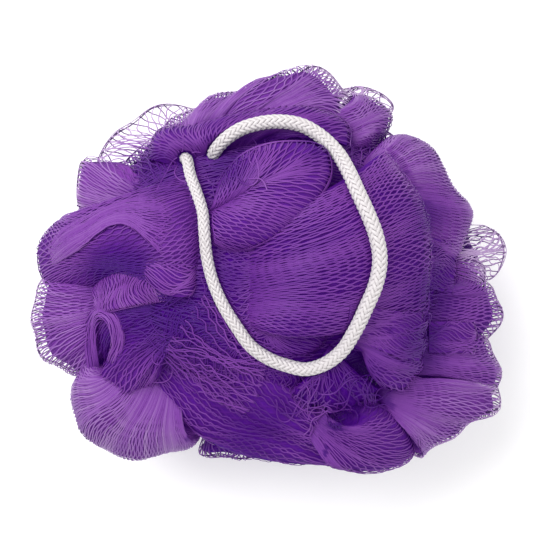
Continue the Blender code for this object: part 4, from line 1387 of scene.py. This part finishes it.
class POUF_OT_strands(bpy.types.Operator):
    """Builds the crossing strands of the outer net, fold by fold, and the loose strands on them."""

    bl_idname = "pouf.strands"
    bl_label = "Strands of the net"

    def execute(self, context):
        net = context.scene.pouf_net
        finish = strand_finish(net)
        netting = packed_netting()
        room = CordRoom(STRAND_ROOM)
        zones = {}
        for number, fold in enumerate(all_folds()):
            rng = np.random.default_rng(STRAND_SEED + number)
            sets = [fold_strands(fold, net, rng)]
            if fold.backed:
                sets.append(edge_loops(fold, net, rng) if fold.cut_edge else rim_lines(fold, rng))
            for lines, outward, tones, alongs in sets:
                depth, light = netting.read(lines.reshape(-1, 3))
                hidden = net.hidden_depth * (2 if fold in TOP_FOLDS else 1)
                deep = (depth > hidden).reshape(lines.shape[:2])
                kept = ~(deep[:, :-1] & deep[:, 1:])
                lines = room.press(lines)
                lines[..., 2] = np.maximum(lines[..., 2], STRAND_FLOOR)
                # Painted light and shade of the strands: the openness of their place, the painted shade
                # spots, and painted light along open rims
                share = painted_light_share(lines.reshape(-1, 3), light, fold.lip).reshape(lines.shape[:2])
                glow = 0.0 if fold.lip else min(0.25, 4 * fold.open_net)
                shades = strand_shades(tones, alongs, share, glow)
                zones.setdefault(fold.zone, []).append(
                    strand_skin(lines, outward, shades, kept, net.strand_width))
        rng = np.random.default_rng(CURL_SEED)
        lines, outward, tones, alongs = loose_curls(netting.tree, LOOSE_ENDS, rng)
        light = netting.read(lines.reshape(-1, 3))[1]
        share = painted_light_share(lines.reshape(-1, 3), light).reshape(lines.shape[:2])
        shades = strand_shades(tones, alongs, share)
        kept = np.ones(shades[:, 1:].shape, bool)
        lines = CordRoom(CURL_ROOM).press(lines)
        zones["loose"] = [strand_skin(lines, outward, shades, kept, net.strand_width * 0.8)]
        for zone, skins in zones.items():
            points, faces, numbers, flat_map = join_skins(skins)
            strands = make_mesh(f"net_strands_{zone}", points, faces, finish, numbers, flat_map)
            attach(strands, "root")
        return {"FINISHED"}


class POUF_OT_gather(bpy.types.Operator):
    bl_idname = "pouf.gather"
    bl_label = "Gathered sheet"

    def execute(self, context):
        strands = [thing for thing in bpy.data.objects if thing.name.startswith("net_strands")]
        layers = bpy.data.objects["net_layers"]
        for thing in [layers] + strands:
            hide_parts("netting")
        return {"FINISHED"}


class POUF_OT_cord(bpy.types.Operator):
    """Braids the hanging cord from sixteen strands round a core."""

    bl_idname = "pouf.cord"
    bl_label = "Braided cord"

    def execute(self, context):
        cord = context.scene.pouf_cord
        middle, run = cord_line(cord.lead / LEAD_STEPS)
        frame_side, frame_up = carried_frame(middle)
        pull = np.interp(np.linspace(0, 1, len(run)), np.linspace(0, 1, len(CORD_PULL)), CORD_PULL)
        skins = []
        for k in range(BRAID_CARRIERS):
            for side in (1, -1):
                turn = 2 * math.pi * run / cord.lead
                angle = 2 * math.pi * k / BRAID_CARRIERS + side * turn
                over = side * np.cos(side * 4 * turn + math.pi * k - math.pi / 4)
                out = np.cos(angle)[:, None] * frame_side + np.sin(angle)[:, None] * frame_up
                radius = (cord.braid_radius + cord.weave_height * over) * pull
                line = middle + out * radius[:, None]
                size = (cord.yarn_width / 2 * pull, cord.yarn_thickness / 2)
                # The yarn's tone is its height in the weave: where it dives under another strand it is
                # painted in shade
                skins.append(yarn_skin(line, out, size, 0.5 + 0.5 * over, 6))
        points, faces, numbers, flat_map = join_skins(skins)
        points[:, 2] = np.maximum(points[:, 2], STRAND_FLOOR)
        braid = make_mesh("hanging_cord_braid", points, faces, yarn_finish(cord), numbers, flat_map)
        size = (cord.core_radius * pull, cord.core_radius * pull)
        points, faces, numbers, flat_map = yarn_skin(middle, frame_up, size, np.zeros(len(middle)), 10)
        core = make_mesh("hanging_cord_core", points, faces, core_finish(cord), numbers, flat_map)
        for thing in (braid, core):
            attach(thing, "root")
            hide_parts("hanging_cord")
        return {"FINISHED"}


class POUF_OT_tie(bpy.types.Operator):
    """Gives the tie at the middle of the gather its wound twine."""

    bl_idname = "pouf.tie"
    bl_label = "Twine of the tie"

    def execute(self, context):
        tie = frame["nodes"]["centre_tie"]
        finish = twine_finish(context.scene.pouf_cord)
        for slot in tie.material_slots:
            slot.material = finish
        return {"FINISHED"}


class POUF_PT_panel(bpy.types.Panel):
    """Lists the pouf's sizes, colours and pieces."""

    bl_idname = "POUF_PT_panel"
    bl_label = "Mesh bath pouf"
    bl_space_type = "VIEW_3D"
    bl_region_type = "UI"
    bl_category = "Pouf"

    def draw(self, context):
        layout = self.layout
        for group in (context.scene.pouf_net, context.scene.pouf_cord, context.scene.pouf_stage):
            box = layout.box()
            for name in group.bl_rna.properties.keys():
                if name not in ("rna_type", "name"):
                    box.prop(group, name)
        for operator in OPERATORS:
            layout.operator(operator.bl_idname)


GROUPS = (("pouf_net", PoufNet), ("pouf_cord", PoufCord), ("pouf_stage", PoufStage))
OPERATORS = (POUF_OT_stage, POUF_OT_layers, POUF_OT_strands, POUF_OT_gather, POUF_OT_cord, POUF_OT_tie)


def register():
    for name, group in GROUPS:
        bpy.utils.register_class(group)
        setattr(bpy.types.Scene, name, bpy.props.PointerProperty(type=group))
    for operator in OPERATORS:
        bpy.utils.register_class(operator)
    bpy.utils.register_class(POUF_PT_panel)


def unregister():
    bpy.utils.unregister_class(POUF_PT_panel)
    for operator in reversed(OPERATORS):
        bpy.utils.unregister_class(operator)
    for name, group in reversed(GROUPS):
        delattr(bpy.types.Scene, name)
        bpy.utils.unregister_class(group)


def main():
    register()
    bpy.ops.pouf.stage()
    bpy.ops.pouf.cord()
    bpy.ops.pouf.layers()
    bpy.ops.pouf.strands()
    bpy.ops.pouf.gather()
    bpy.ops.pouf.tie()


if __name__ == "__main__":
    main()
